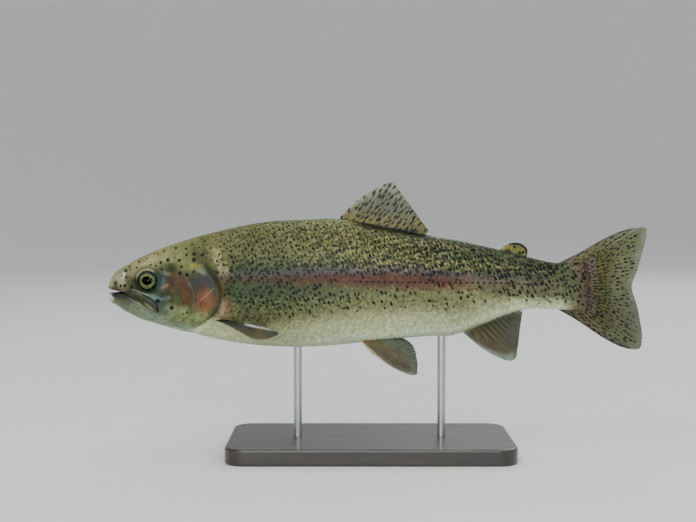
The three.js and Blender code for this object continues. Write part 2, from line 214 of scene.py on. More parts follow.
class BodyChart:
    """The body's surface by x and by the share of the half girth from the back to the belly."""

    def __init__(self):
        front = 8 * (np.arange(40) / 40) ** 2
        rear = BODY_LENGTH - 3 * (np.arange(20, -1, -1) / 20) ** 2
        self.x = np.concatenate([front, np.arange(8, BODY_LENGTH - 3, 0.5), rear])
        knots = STATIONS[:, 0]
        back, belly, half, level, power = (
            smooth_through(self.x, knots, STATIONS[:, i])[:, None] for i in range(1, 6)
        )
        level = mix(MOUTH[0, 1], level[:, 0], ease(0, 8, self.x))[:, None]
        tail = cap(BODY_LENGTH - self.x, TAIL_CAP)[:, None]
        above = cap(self.x, NOSE_CAP)[:, None] * tail
        below = cap(self.x, SNOUT_CAP)[:, None] * tail
        wide = cap(self.x, SNOUT_CAP_WIDTH)[:, None] * tail
        angle = np.linspace(0, math.pi, 361)[None, :]
        rise = np.cos(angle)
        lift = np.where(rise > 0, (back - level) * above, (level - belly) * below)
        z = level + lift * np.sign(rise) * np.abs(rise) ** (2 / power)
        y = half * wide * np.sin(angle) ** (2 / power)
        step = np.hypot(np.diff(y), np.diff(z))
        length = np.concatenate([np.zeros((len(y), 1)), np.cumsum(step, 1)], 1)
        self.girth = length[:, -1]
        self.share = np.linspace(0, 1, 241)
        along = length / np.maximum(length[:, -1:], 1e-9)
        self.y, self.z = (
            np.array([np.interp(self.share, at, row) for at, row in zip(along, rows)]) for rows in (y, z)
        )

    def half_girth(self, x):
        return np.interp(x, self.x, self.girth)

    def at(self, x, share):
        """y on the right side, and z."""
        x = np.clip(x, 0, BODY_LENGTH)
        i = np.clip(np.searchsorted(self.x, x, side="right") - 1, 0, len(self.x) - 2)
        u = (x - self.x[i]) / (self.x[i + 1] - self.x[i])
        spot = np.clip(share, 0, 1) * (len(self.share) - 1)
        j = np.minimum(spot.astype(int), len(self.share) - 2)
        v = spot - j
        found = []
        for table in (self.y, self.z):
            low = table[i, j] * (1 - v) + table[i, j + 1] * v
            high = table[i + 1, j] * (1 - v) + table[i + 1, j + 1] * v
            found.append(low * (1 - u) + high * u)
        return found

    def share_of(self, x, z):
        """The share of the half girth at which the surface passes a height."""
        low = np.zeros(np.shape(x))
        high = np.ones(np.shape(x))
        for _ in range(22):
            middle = (low + high) / 2
            above = self.at(x, middle)[1] > z
            low = np.where(above, middle, low)
            high = np.where(above, high, middle)
        return (low + high) / 2

    def normal(self, x, share):
        """The outward direction on the right side, as x, y and z."""
        dx = 0.05
        ds = 0.004
        x0, x1 = np.clip(x - dx, 0.0, BODY_LENGTH), np.clip(x + dx, 0.02, BODY_LENGTH)
        s0, s1 = np.clip(share - ds, 0, 1), np.clip(share + ds, 0, 1)
        (ya, za), (yb, zb) = self.at(x0, share), self.at(x1, share)
        (yc, zc), (yd, zd) = self.at(x, s0), self.at(x, s1)
        along = np.stack([x1 - x0, yb - ya, zb - za], -1)
        round_ = np.stack([np.zeros_like(yc), yd - yc, zd - zc], -1)
        out = np.cross(along, round_)
        edge = (share < ds) | (share > 1 - ds)
        out[edge, 1] = 0
        return out / np.maximum(np.linalg.norm(out, axis=-1, keepdims=True), 1e-9)


chart = BodyChart()
gill_path = smooth_path(GILL_LINE, 80)


def place(x, y, z):
    """From the fish's side view, in mm, to the frame, in metres."""
    behind = np.clip(x - SWING_START, 0, None) / (TOTAL_LENGTH - SWING_START)
    return np.stack([x - TOTAL_LENGTH / 2, y + TAIL_SWING * behind**2, z + AXIS_HEIGHT], -1) * MM


# ---- Mesh helpers ----
def mesh_from(bm, name):
    mesh = bpy.data.meshes.new(name)
    bm.to_mesh(mesh)
    bm.free()
    return mesh


def read_places(mesh):
    found = np.empty(len(mesh.vertices) * 3)
    mesh.vertices.foreach_get("co", found)
    return found.reshape(-1, 3)


def write_places(mesh, places):
    mesh.vertices.foreach_set("co", np.ascontiguousarray(places, np.float32).ravel())
    mesh.update()


def paint_numbers(mesh, name, values):
    layer = mesh.attributes.new(name, "FLOAT", "POINT")
    layer.data.foreach_set("value", np.ascontiguousarray(values, np.float32))


def paint_colours(mesh, name, colours):
    layer = mesh.attributes.new(name, "FLOAT_COLOR", "POINT")
    full = np.concatenate([colours, np.ones((len(colours), 1))], 1)
    layer.data.foreach_set("color", np.ascontiguousarray(full, np.float32).ravel())


def write_map(mesh, name, u, v):
    """A UV map from a u and a v for each face corner."""
    layer = mesh.uv_layers.new(name=name, do_init=False)
    layer.uv.foreach_set("vector", np.stack([u, v], 1).astype(np.float32).ravel())


def corners(mesh):
    """For each face corner, its vertex and its face."""
    vertex = np.empty(len(mesh.loops), np.int32)
    mesh.loops.foreach_get("vertex_index", vertex)
    total = np.empty(len(mesh.polygons), np.int32)
    mesh.polygons.foreach_get("loop_total", total)
    return vertex, np.repeat(np.arange(len(total)), total)


def turn_faces_out(mesh):
    bm = bmesh.new()
    bm.from_mesh(mesh)
    bmesh.ops.recalc_face_normals(bm, faces=bm.faces)
    bm.to_mesh(mesh)
    bm.free()


def finish_piece(name, mesh, material, nodes=(), smooth=True):
    """Shows a mesh as a piece of the model, in place of the named solid nodes."""
    piece = bpy.data.objects.new(name, mesh)
    bpy.context.scene.collection.objects.link(piece)
    mesh.materials.append(material)
    mesh.polygons.foreach_set("use_smooth", np.full(len(mesh.polygons), smooth))
    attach(piece, "root")
    if nodes:
        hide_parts(*nodes)
    return piece


# ---- Material helpers ----
class Finish:
    """A material, built node by node around one Principled shader."""

    def __init__(self, name):
        self.material = bpy.data.materials.new(name)
        self.material.use_nodes = True
        self.tree = self.material.node_tree
        self.shader = next(n for n in self.tree.nodes if n.type == "BSDF_PRINCIPLED")

    def feed(self, socket, value):
        """Sets a socket to a number or a colour, or links it to another socket."""
        if isinstance(value, bpy.types.NodeSocket):
            self.tree.links.new(value, socket)
        elif hasattr(socket.default_value, "__len__") and len(socket.default_value) == 4:
            socket.default_value = (*value[:3], 1)
        else:
            socket.default_value = value

    def node(self, kind, inputs=(), **settings):
        made = self.tree.nodes.new(kind)
        for key, value in settings.items():
            setattr(made, key, value)
        for key, value in dict(inputs).items():
            self.feed(made.inputs[key], value)
        return made

    def math(self, operation, a, b=0.0):
        return self.node("ShaderNodeMath", {0: a, 1: b}, operation=operation).outputs[0]

    def times(self, *values):
        return reduce(partial(self.math, "MULTIPLY"), values)

    def larger(self, *values):
        return reduce(partial(self.math, "MAXIMUM"), values)

    def plus(self, a, b):
        return self.math("ADD", a, b)

    def minus(self, a, b):
        return self.math("SUBTRACT", a, b)

    def where(self):
        return self.node("ShaderNodeTexCoord").outputs["Object"]

    def uv(self, name):
        return self.node("ShaderNodeUVMap", uv_map=name).outputs[0]

    def stretched(self, vector, scale, lean=0.0, **settings):
        inputs = {"Vector": vector, "Scale": scale, "Rotation": (0, 0, lean)}
        return self.node("ShaderNodeMapping", inputs, **settings).outputs[0]

    def shaded(self, colour, value):
        """A colour times a number."""
        grey = self.node("ShaderNodeCombineColor", {i: value for i in range(3)}).outputs[0]
        return self.mixed(1.0, colour, grey, "MULTIPLY")

    def cells(self, vector, scale, randomness):
        """The cells of a loose flat lattice, and two random numbers for each."""
        inputs = {"Vector": vector, "Scale": scale, "Randomness": randomness}
        made = self.node("ShaderNodeTexVoronoi", inputs, voronoi_dimensions="2D")
        pick = self.node("ShaderNodeSeparateColor", {0: made.outputs["Color"]})
        return made.outputs, pick.outputs[0], pick.outputs[1]

    def number(self, name):
        return self.node("ShaderNodeAttribute", attribute_name=name).outputs["Fac"]

    def colour(self, name):
        return self.node("ShaderNodeAttribute", attribute_name=name).outputs["Color"]

    def mixed(self, share, a, b, blend="MIX"):
        made = self.node("ShaderNodeMix", data_type="RGBA", blend_type=blend)
        self.feed(made.inputs[0], share)
        self.feed(made.inputs[6], a)
        self.feed(made.inputs[7], b)
        return made.outputs[2]

    def ramp(self, value, low, high, start=0.0, end=1.0):
        inputs = {"Value": value, "From Min": low, "From Max": high, "To Min": start, "To Max": end}
        made = self.node("ShaderNodeMapRange", inputs, interpolation_type="SMOOTHSTEP")
        return made.outputs["Result"]

    def noise(self, vector, scale, detail=2.0, roughness=0.5):
        inputs = {"Vector": vector, "Scale": scale, "Detail": detail, "Roughness": roughness}
        return self.node("ShaderNodeTexNoise", inputs).outputs["Fac"]

    def bump(self, height, distance, strength=1.0):
        inputs = {"Height": height, "Distance": distance, "Strength": strength}
        self.feed(self.shader.inputs["Normal"], self.node("ShaderNodeBump", inputs).outputs[0])

    def set(self, **sockets):
        for key, value in sockets.items():
            self.feed(self.shader.inputs[key.replace("_", " ")], value)


# ---- Settings ----
def colour_setting(name, description, code):
    return FloatVectorProperty(
        name=name, description=description, subtype="COLOR", min=0, max=1, default=srgb(code)
    )


def length_setting(name, description, millimetres):
    return FloatProperty(
        name=name, description=description, default=millimetres * MM, unit="LENGTH", precision=5
    )


class TroutSkinSettings(bpy.types.PropertyGroup):
    """How fine the skin is and how far it lies under the scales."""

    rings: IntProperty(name="Rings", description="Rings from snout to tail", default=340, min=60)
    columns: IntProperty(
        name="Columns", description="Columns from the back to the belly", default=144, min=40
    )
    coat_depth: length_setting("Coat depth", "How far the skin lies inside the scales", 0.32)


class TroutScaleSettings(bpy.types.PropertyGroup):
    """Size and lie of the scales."""

    pitch: length_setting("Pitch", "Distance between scales along the body", 2.15)
    row_pitch: length_setting("Row pitch", "Distance between rows round the body", 1.75)
    length: length_setting("Length", "Length of a scale", 3.1)
    width: length_setting("Width", "Width of a scale", 2.5)
    lift: length_setting("Lift", "How far a scale's rear edge stands above its root", 0.26)


class TroutFinSettings(bpy.types.PropertyGroup):
    """Thickness of the fins."""

    rim: length_setting("Rim", "Half thickness at the rim", 0.22)
    root: length_setting("Root", "Half thickness at the root", 1.25)
    ray: length_setting("Ray", "How far a ray stands out of the fin's skin", 0.22)


class TroutColourSettings(bpy.types.PropertyGroup):
    """The fish's colours."""

    back: colour_setting("Back", "Olive of the back", "4c512d")
    # Paler olive along the ridge of the back: painted light from above.
    crest: colour_setting("Crest", "Paler olive along the ridge of the back", "777c50")
    flank: colour_setting("Flank", "Grey green of the shoulder", "303c24")
    gold: colour_setting("Gold", "Green gold of the lower flank", "5d6140")
    belly: colour_setting("Belly", "Pearl of the belly", "b4ba8f")
    under: colour_setting("Underside", "Blue white of the underside", "d8e7c2")
    rose: colour_setting("Rose", "The stripe along the side", "4f2f24")
    lilac: colour_setting("Lilac", "The stripe's upper edge", "4f4f5b")
    # Cream for painted glints that stand in for the sparkle of the scales.
    fleck: colour_setting("Fleck", "Cream flecks on the back", "928d5c")
    # Black of the spots, also of the painted shade in the mouth, nostrils, jaw groove and gill slit and under
    # the dorsal fin.
    ink: colour_setting("Ink", "The black spots", "040505")


class TroutStageSettings(bpy.types.PropertyGroup):
    """The studio round the model."""

    distance: FloatProperty(
        name="Camera distance", description="From the fish's middle", default=0.9, unit="LENGTH"
    )
    elevation: FloatProperty(
        name="Camera elevation",
        description="Above the horizon",
        default=math.radians(3),
        subtype="ANGLE",
    )
    frame_width: FloatProperty(
        name="Frame width", description="Width seen at the fish", default=0.5165, unit="LENGTH"
    )
    floor: colour_setting("Floor", "Pale floor and backdrop", "e6e9e6")


SETTINGS = {
    "trout_skin": TroutSkinSettings,
    "trout_scales": TroutScaleSettings,
    "trout_fins": TroutFinSettings,
    "trout_colours": TroutColourSettings,
    "trout_stage": TroutStageSettings,
}


# ---- Places on the body, and what lies there ----
class Survey:
    """What the skin and the scales need to know about places on the body."""

    def __init__(self, x, share):
        self.x = x
        self.share = share
        self.y, self.z = chart.at(x, share)
        self.half_girth = chart.half_girth(x)
        self.from_back = share * self.half_girth
        self.from_belly = self.half_girth - self.from_back
        self.gill = near_line(x, self.z, gill_path)[0]
        self.above_line = self.z - np.interp(x, *LATERAL_LINE.T)
        self.top, self.bottom = (np.interp(x, STATIONS[:, 0], STATIONS[:, i]) for i in (1, 2))
        self.eye = np.hypot(x - EYE[0], self.z - EYE[1])
        self.eye_angle = np.arctan2(self.z - EYE[1], x - EYE[0])
        self.lip = self.z - mouth_level(x)
        self.gap = mouth_gap(x)
        self.maxilla = inside_plate(x, self.z, smooth_path(MAXILLA, 60, closed=True))

    def blob(self, x, z, wide, tall, lean=0):
        """1 in the middle of an oval, 0 well outside it."""
        turn = math.radians(lean)
        dx = self.x - x
        dz = self.z - z
        along = dx * math.cos(turn) + dz * math.sin(turn)
        across = dz * math.cos(turn) - dx * math.sin(turn)
        return np.exp(-((along / wide) ** 4 + (across / tall) ** 4) ** 0.75)

    def line(self, points, steps=40):
        return near_line(self.x, self.z, smooth_path(points, steps))


def mouth_level(x):
    return smooth_through(np.clip(x, 0, MOUTH_CORNER), MOUTH[:, 0], MOUTH[:, 1])


def mouth_gap(x):
    return smooth_through(np.clip(x, 0, MOUTH_CORNER), MOUTH[:, 0], MOUTH[:, 2])


def gill_relief(s):
    """The free edge of the gill cover and the groove behind it."""
    free = span(s.z, 26, 14, -34, -42)
    groove = -2.4 * bell(s.gill, 2.2)
    cover = 0.35 + 0.35 * span(s.gill, 1.6, 2.6, 9, 26)
    return free * mix(groove, cover, ease(-0.1, 0.35, s.gill))


def cheek_relief(s):
    """The plates of the cheek and the gill cover."""
    ridge, along = s.line(PREOPERCLE)
    strength = span(along, 0, 0.12, 0.9, 1)
    relief = strength * (0.4 * bell(ridge - 1.8, 1.5) - 0.6 * bell(ridge, 0.75))
    seam, along = s.line(SUBOPERCLE)
    relief -= 0.36 * bell(seam, 0.7) * span(along, 0, 0.1, 0.9, 1)
    bar, along = s.line(SUBORBITAL)
    taper = span(along, 0, 0.15, 0.8, 1)
    relief += taper * (0.4 * bell(bar, 1.3) - 0.22 * bell(bar + 2.1, 0.9))
    relief += 0.5 * s.blob(51, -5, 9, 7) - 0.35 * s.blob(41.5, 3, 2.6, 4)
    relief += 0.25 * s.blob(47, 13, 6, 3)
    rays = 0.5 + 0.5 * np.cos(s.gill * math.tau / 2.1)
    throat = ease(-21, -26, s.z) * span(s.gill, 2.4, 4, 11, 14)
    return relief + 0.3 * (rays - 0.6) * throat * ease(3, 7, s.from_belly)


def mouth_relief(s):
    """Lips, the upper jaw's plate, and the groove between the lower jaws."""
    plate = 0.8 * ease(-0.4, 0.8, s.maxilla) - 0.3 * bell(s.maxilla + 0.9, 0.6)
    upper = 0.5 * bell(s.lip - s.gap - 0.9, 1.1) * ease(20, 12, s.x)
    lower = s.lip + s.gap
    behind = ease(44, 32, s.x)
    roll = behind * (0.6 * bell(lower + 1.1, 1.1) - 0.4 * bell(lower + 3.3, 0.9))
    roll *= ease(-0.2, -1.6, s.maxilla)
    isthmus = 0.6 * bell(s.from_belly - 4.6, 1.2) * span(s.x, 12, 22, 48, 60)
    edge = 0.75 * bell(np.abs(s.lip) - s.gap, 0.6) * ease(24, 14, s.x)
    return plate + upper + roll - isthmus - edge


def nose_relief(s):
    pits = sum(-1.3 * bell(np.hypot(s.x - x, s.z - z), r) for x, z, r in NOSTRILS)
    flap = 0.9 * s.blob(12.9, 7.4, 0.7, 1.7, -14)
    rim = 0.25 * bell(np.hypot(s.x - 13, s.z - 7) - 2.7, 0.8)
    return pits + flap + rim


def eye_relief(s):
    """The socket, its skin rim and the brow."""
    socket = -5.5 * ease(7.7, 6.7, s.eye)
    rim = 0.45 * bell(s.eye - 8.3, 0.65) - 0.25 * bell(s.eye - 9.6, 0.7)
    brow = 0.5 * bell(s.eye - 11.2, 1.9) * ease(0.1, 0.6, np.sin(s.eye_angle))
    return socket + (rim + brow) * ease(6.6, 7.6, s.eye)


def scaled_share(s):
    """1 where the body wears scales."""
    bare = s.blob(84.5, -16, 4.6, 6.0)
    return ease(-1.2, -3.2, s.gill) * ease(352, 347, s.x) * (1 - bare)


def body_relief(s):
    """Shallow forms of the body: the lateral line and the fleshy roots of the fins."""
    dorsal = 0.8 * bell(s.from_back, 4) * span(s.x, 168, 178, 232, 242)
    anal = 0.7 * bell(s.from_belly, 4) * span(s.x, 258, 266, 303, 311)
    line = 0.1 * bell(s.above_line, 0.8) * ease(88, 96, s.x)
    stalk = 0.25 * bell(s.above_line - 1, 6) * ease(320, 340, s.x)
    return dorsal + anal + stalk - line


def relief(s, coat_depth):
    """How far the skin stands out of the plain body, in mm."""
    bones = gill_relief(s) + cheek_relief(s) + mouth_relief(s) + nose_relief(s)
    closed = ease(7.0, 8.0, s.eye)
    return bones * closed + eye_relief(s) + body_relief(s) - coat_depth * scaled_share(s)


# ---- Colours and markings ----
HEAD_SPOTS = [
    (51.2, 27.8, 1.0), (58.9, 27.6, 1.0), (68.6, 28.4, 0.8), (63.1, 30.8, 0.8), (42.1, 25.6, 0.9),
    (37.8, 23.4, 0.8), (29.6, 20.1, 0.8), (23.6, 17.5, 0.9), (33.1, 17.7, 0.6), (65.2, 23.7, 1.4),
    (59.8, 23.0, 1.1), (71.2, 23.1, 1.2), (45.9, 19.3, 1.5), (54.6, 19.0, 1.3), (40.7, 17.4, 1.2),
    (65.4, 19.5, 1.7), (56.3, 14.4, 1.2), (55.2, 10.0, 1.4), (60.5, 8.7, 1.5), (65.6, 10.9, 1.0),
    (14.1, 10.9, 1.2), (16.9, 13.8, 1.0), (18.0, 11.7, 0.7), (22.6, 13.2, 0.9), (33.2, 15.5, 0.9),
    (37.1, 14.9, 0.9), (41.7, 12.4, 1.0), (51.0, 21.0, 0.7), (6.8, 2.1, 1.0), (10.7, 0.0, 1.1),
    (13.8, 0.2, 1.3), (19.2, -0.6, 1.2), (38.8, -10.5, 1.8), (49.1, -15.2, 1.6), (42.2, -7.2, 0.7),
    (60.6, -18.4, 1.1), (57.5, -19.8, 0.8), (46.0, 30.6, 0.7), (54.5, 33.4, 0.8),
    (34.6, 23.8, 0.6),
]

HEAD_TONES = {
    "crown": "65673f",
    "forehead": "8e8d61",
    "nose": "787a5c",
    "olive": "2e3122",
    "moss": "192312",
    "teal": "28454a",
    "pale_teal": "5a6860",
    "cream": "a09d80",
    "white": "e3e0d2",
    "rust": "442e25",
    "orange": "58341c",
    "salmon": "6a4530",
    "plum": "302d31",
    "lilac_grey": "67656a",
    "yellow": "7b7731",
    "sage": "657153",
    "cheek": "353822",
    "jowl": "757c4f",
    "jaw": "5d6853",
    "throat": "84957c",
    "lip": "201d1d",
    "ochre": "66562f",
    "shell": "222714",
    "bark": "232215",
    "blush": "937a62",
}

# tone, x, z, half length, half height, lean in degrees, strength
HEAD_PATCHES = [
    ("forehead", 30, 17, 17, 6, 28, 0.9),
    ("nose", 7, 5, 9, 8, 0, 0.9),
    ("moss", 46, 13.5, 9, 4.5, 0, 0.55),
    ("moss", 69, 22.5, 4.6, 9, 28, 0.7),
    ("olive", 18, 3, 6, 6, 0, 0.5),
    ("cheek", 44, -8, 15, 9, -10, 0.9),
    ("teal", 41.5, 4, 3.4, 8, 0, 0.8),
    ("pale_teal", 43.5, 2, 1.8, 4, 0, 0.6),
    ("teal", 38, -10, 7, 3.4, -42, 0.8),
    ("rust", 53, 4, 8.5, 6, -8, 0.85),
    ("cheek", 52, -9, 6, 6, 0, 0.5),
    ("orange", 60, -6.5, 2.8, 7.5, -4, 0.85),
    ("rust", 59, 3, 3.2, 5, -12, 0.5),
    ("blush", 44.2, 0.2, 3.0, 1.2, 26, 0.7),
    ("orange", 47.5, -1.6, 2.6, 1.4, -24, 0.5),
    ("plum", 74, 5, 8, 8, -30, 0.9),
    ("plum", 68, -2, 5, 6, 0, 0.65),
    ("salmon", 75, -8, 8, 6, -50, 0.9),
    ("salmon", 71, -14, 6.5, 5.5, -60, 0.9),
    ("jowl", 60, -21.5, 16, 7, -12, 0.9),
    ("yellow", 66.6, 14.4, 3.6, 2.0, -8, 0.95),
    ("sage", 70.4, 11.6, 4.4, 1.6, -24, 0.9),
    ("moss", 48.8, 13.8, 4, 3.2, 0, 0.8),
    ("sage", 45.5, 9.3, 2.4, 1.3, -20, 0.7),
    ("jaw", 24, -19, 20, 6.4, -28, 0.9),
    ("pale_teal", 46, -17.5, 6, 3, -20, 0.5),
    ("cream", 44, -26, 5, 1.4, -10, 0.35),
    ("white", 2.4, -8.5, 3, 2.2, -30, 0.95),
    ("ochre", 7, -10.6, 2.8, 2, -30, 0.75),
    ("cream", 2.2, -0.6, 1.8, 1.6, -20, 0.6),
    ("rust", 7.5, -2.6, 6, 1.8, -6, 0.85),
    ("ochre", 23.4, -15.8, 1.8, 1.7, 0, 0.6),
    ("cream", 12, 3.4, 2.2, 2.2, 0, 0.5),
    ("cream", 1.4, 3.4, 1.6, 4.2, -20, 0.6),
    ("moss", 6.8, 0.8, 1.7, 3.6, 12, 0.75),
]


def patched(s, tint, tone, patches):
    """A tint under soft oval patches."""
    for name, x, z, wide, tall, lean, strength in patches:
        tint = mix(tint, tone[name], strength * s.blob(x, z, wide, tall, lean))
    return tint


def head_tint(s):
    """The colours of the head, before its spots."""
    tone = {name: tone_of(code) for name, code in HEAD_TONES.items()}
    tint = mix(tone["cheek"], tone["crown"], ease(6, 16, s.z))
    tint = mix(tint, tone["throat"], ease(-18, -27, s.z + 0.25 * (s.x - 45)))
    tint = patched(s, tint, tone, HEAD_PATCHES)
    tint = mix(tint, tone["moss"], 0.85 * bell(s.eye - 8.9, 1.6))
    # Painted highlight: a cream arc on the upper rim of the eye.
    eye_rim_highlight = bell(s.eye - 8.3, 0.6) * ease(0.3, 0.8, np.sin(s.eye_angle - 0.35))
    tint = mix(tint, tone["cream"], 0.75 * eye_rim_highlight)
    bar, along = s.line(SUBORBITAL)
    tint = mix(tint, tone["cream"], 0.85 * bell(bar, 0.9) * ease(0.55, 0.3, along))
    tint = mix(tint, tone["pale_teal"], 0.8 * bell(bar, 1.5) * ease(0.3, 0.5, along))
    ridge, along = s.line(PREOPERCLE)
    edge = bell(ridge + 0.2, 0.36) * span(along, 0, 0.1, 0.4, 0.8)
    tint = mix(tint, tone["lilac_grey"], 0.6 * edge)
    seam, along = s.line([(80.5, -0.5), (76, -5), (69, -11)])
    tint = mix(tint, tone["blush"], 0.4 * bell(seam, 0.4) * ease(0, 0.1, along))
    shell = ease(-0.5, 0.3, s.maxilla)
    tint = mix(tint, tone["shell"], 0.9 * shell)
    # Painted highlight along the rear of the upper jaw's plate.
    light = s.blob(33.2, -15.2, 4.6, 0.7, -38) * shell
    tint = mix(tint, tone["cream"], 0.6 * light)
    strip = bell(s.lip + s.gap + 1.7, 2.3) * span(s.x, 2.2, 5, 26, 33)
    lip = mix(tone["lip"], tone["cream"] * 0.36, ease(14, 22, s.x))
    tint = mix(tint, lip, 0.9 * strip * (1 - shell))
    groove = bell(s.lip + s.gap + 3.1, 0.45) * span(s.x, 12, 18, 28, 34)
    tint = mix(tint, tone["lilac_grey"], 0.6 * groove * (1 - shell))
    vein = bell(s.maxilla - 1.3, 0.3) * shell * ease(14, 20, s.x)
    tint = mix(tint, tone["cheek"] * 1.5, 0.6 * vein)
    # White painted highlight on the nostril flap.
    flap = s.blob(12.6, 7.5, 0.9, 1.9, -14)
    tint = mix(tint, tone["white"], 0.9 * flap)
    skirt = span(s.gill, -0.1, 0.3, 1.1, 2.2) * span(s.z, 26, 12, -17, -29)
    return mix(tint, tone["bark"], 0.85 * skirt)


def dorsal_root_shadow(s):
    """1 in the painted shadow line where the dorsal fin leaves the back."""
    return ease(0.905, 0.955, s.z / s.top) * span(s.x, 176, 190, 230, 240)


def body_tint(s, colours):
    """The colours behind the head, from the back down to the belly, with painted light and shade."""
    tone = {key: np.array(getattr(colours, key)[:]) for key in TroutColourSettings.__annotations__}
    up = np.clip(s.above_line / s.top, 0, 1)
    down = np.clip(s.above_line / s.bottom, 0, 1)
    fore = ease(240, 115, s.x)
    tint = mix(tone["flank"], tone["back"], ease(0.16, 0.5, up))
    # Painted light: the ridge of the back paler where light from above falls on it.
    tint = mix(tint, tone["crest"], ease(0.72, 1.0, up) * ease(265, 185, s.x))
    dark = tone["back"] * np.array([0.47, 0.58, 0.85])
    # Darker just behind the dorsal fin, round x 240.
    behind_dorsal_darkening = 1 - 0.22 * bell(s.x - 240, 13)
    tint = mix(tint, dark * behind_dorsal_darkening[:, None], ease(195, 245, s.x) * ease(0.25, 0.6, up))
    # Painted shadow: a dark line on the back under the dorsal fin's root.
    tint = mix(tint, dark * 0.4, 0.85 * dorsal_root_shadow(s))
    side = mix(tone["gold"] * 1.25, tone["flank"] * 1.12, fore)
    down = down - 0.17 * ease(190, 110, s.x)
    lower = mix(side, tone["gold"] * 1.1, ease(0.1, 0.62, down + 0.1 * (1 - fore)))
    lower = mix(lower, tone["belly"], ease(0.38, 0.84, down + 0.04 * (1 - fore)))
    lower = mix(lower, tone["under"], ease(0.78, 0.95, down))
    lower = mix(lower, tone["gold"] * 0.9, ease(265, 300, s.x) * ease(-13, -5, s.above_line))
    # Painted shade darkens the rear lower flank; a lighter band lies just below the stripe round x 271.
    shade = 1 - 0.24 * bell(s.x - 264, 22) * ease(-9, -20, s.above_line)
    shade += 0.3 * bell(s.x - 271, 16) * bell(s.above_line + 11, 4.5)
    tint = mix(tint, lower * shade[:, None], ease(2, -5, s.above_line))
    wide = np.interp(s.x, [95, 140, 215, 255, 285, 330], [3.0, 4.2, 7.6, 6.0, 4.4, 3.0])
    middle = np.interp(s.x, [95, 140, 215, 270, 350], [0.2, 1.6, 1.6, -0.5, 1.0])
    at = [86, 110, 140, 180, 240, 275, 305, 330]
    strong = np.interp(s.x, at, [0.2, 0.5, 0.85, 1, 1, 0.68, 0.25, 0])
    band = np.exp(-np.abs((s.above_line - middle) / wide) ** 2.3)
    tint = mix(tint, tone["lilac"], 0.7 * strong * bell(s.above_line - middle - wide, 2.4))
    rose = tone["rose"] * mix(1, 1.25, ease(222, 252, s.x))[:, None]
    tint = mix(tint, rose, 0.92 * strong * band)
    faint = bell(s.above_line - 1, 4.5) * span(s.x, 252, 280, 330, 346)
    return mix(tint, tone_of("625c4a"), 0.7 * faint)


SHOULDER_TONES = {
    "cream": "a2986f",
    "rust": "6e4d2c",
    "blush": "96826c",
    "olive": "383a22",
    "straw": "6f6a41",
}

# tone, x, z, half length, half height, lean in degrees, strength
SHOULDER_PATCHES = [
    ("straw", 80, 30, 12, 15, 28, 0.45),
    ("olive", 74, 23, 3.4, 8, 30, 0.55),
    # The cream patch at 82, 18 is a painted glint on the shoulder.
    ("cream", 82, 18, 2.6, 11, 24, 0.6),
    ("olive", 100, -21, 26, 5, -6, 0.55),
    ("rust", 86.4, -3, 2, 7.5, 8, 0.5),
    ("blush", 84.5, -15, 3.8, 6.5, 0, 0.9),
    ("rust", 89.8, -16, 1.5, 6, 0, 0.8),
    ("rust", 86, -22.3, 5, 1.4, 0, 0.6),
]


def shoulder_tint(s, tint):
    """The colours just behind the gill opening, over those of the body."""
    tone = {name: tone_of(code) for name, code in SHOULDER_TONES.items()}
    return patched(s, tint, tone, SHOULDER_PATCHES)


MAUVE = "4a3d33"


def tail_root_tint(s, tint):
    """The mauve band where the body meets the tail fin."""
    olive = tone_of("5b5e42")
    tint = mix(tint, olive, 0.8 * ease(332, 346, s.x))
    return mix(tint, tone_of(MAUVE), 0.9 * ease(346, 351, s.x + 0.01 * s.z**2))


def spot_density(s):
    """The share of spot places that hold a spot."""
    up = ease(-2, 6, s.above_line)
    x = [60, 90, 140, 200, 260, 300, 340, 357]
    above = np.interp(s.x, x, [0.45, 0.88, 0.95, 0.97, 0.97, 0.95, 0.9, 0.75])
    below = np.interp(s.x, x, [0.2, 0.9, 0.8, 0.45, 0.36, 0.5, 0.7, 0.7])
    reach = np.interp(s.x, [85, 130, 180, 250, 320], [30, 30, 26, 23, 16])
    low = below * ease(-reach, -0.4 * reach, s.above_line)
    density = mix(low, above, up)
    stripe = np.interp(s.x, [130, 180, 258, 298], [0.5, 0.06, 0.08, 0.65])
    density *= mix(1, stripe, bell(s.above_line - 0.6, 5.4) * ease(110, 150, s.x))
    return density * ease(0.5, -3.5, s.gill) * (1 - s.blob(84.5, -15, 5.5, 7.5))


def ink_and_shade_field(s):
    """0.5 at the edge of the dark marks of the head and of its painted shade, higher inside them."""
    marks = [r - np.hypot(s.x - x, s.z - z) for x, z, r in HEAD_SPOTS]
    # Painted shade in the nostril pits.
    marks += [0.9 * r - np.hypot(s.x - x - 0.2, s.z - z) for x, z, r in NOSTRILS]
    # Painted shade inside the open mouth, darkest between the lips.
    mouth = s.gap - np.abs(s.lip)
    mouth = np.where(mouth > 0, 0.6 + mouth, mouth + 0.15)
    mouth = np.where(s.x < MOUTH_CORNER, mouth, -9)
    # Painted shade in the groove along the upper edge of the upper jaw's plate.
    crease_shade, along = s.line([(14, -2.6), (21, -3.9), (28, -6.2), (34, -9.7), (38, -14), (38.6, -18)])
    crease_shade = 0.6 * ease(0, 0.2, along) - np.abs(crease_shade)
    lid = 0.5 * ease(0.1, -0.4, np.sin(s.eye_angle + 0.5)) - np.abs(s.eye - 8.4)
    # Painted shadow in the gill slit, under the free edge of the gill cover.
    slit = 0.3 * ease(22, 14, s.z) - np.abs(s.gill + 0.3)
    field = np.max(marks + [mouth, crease_shade, lid, slit], axis=0)
    return np.clip(0.5 + field / 3, 0, 1)


def line_dots(s):
    """1 along the lateral line, behind the shoulder."""
    return np.clip(1 - np.abs(s.above_line) / 1.4, 0, 1) * ease(150, 200, s.x)


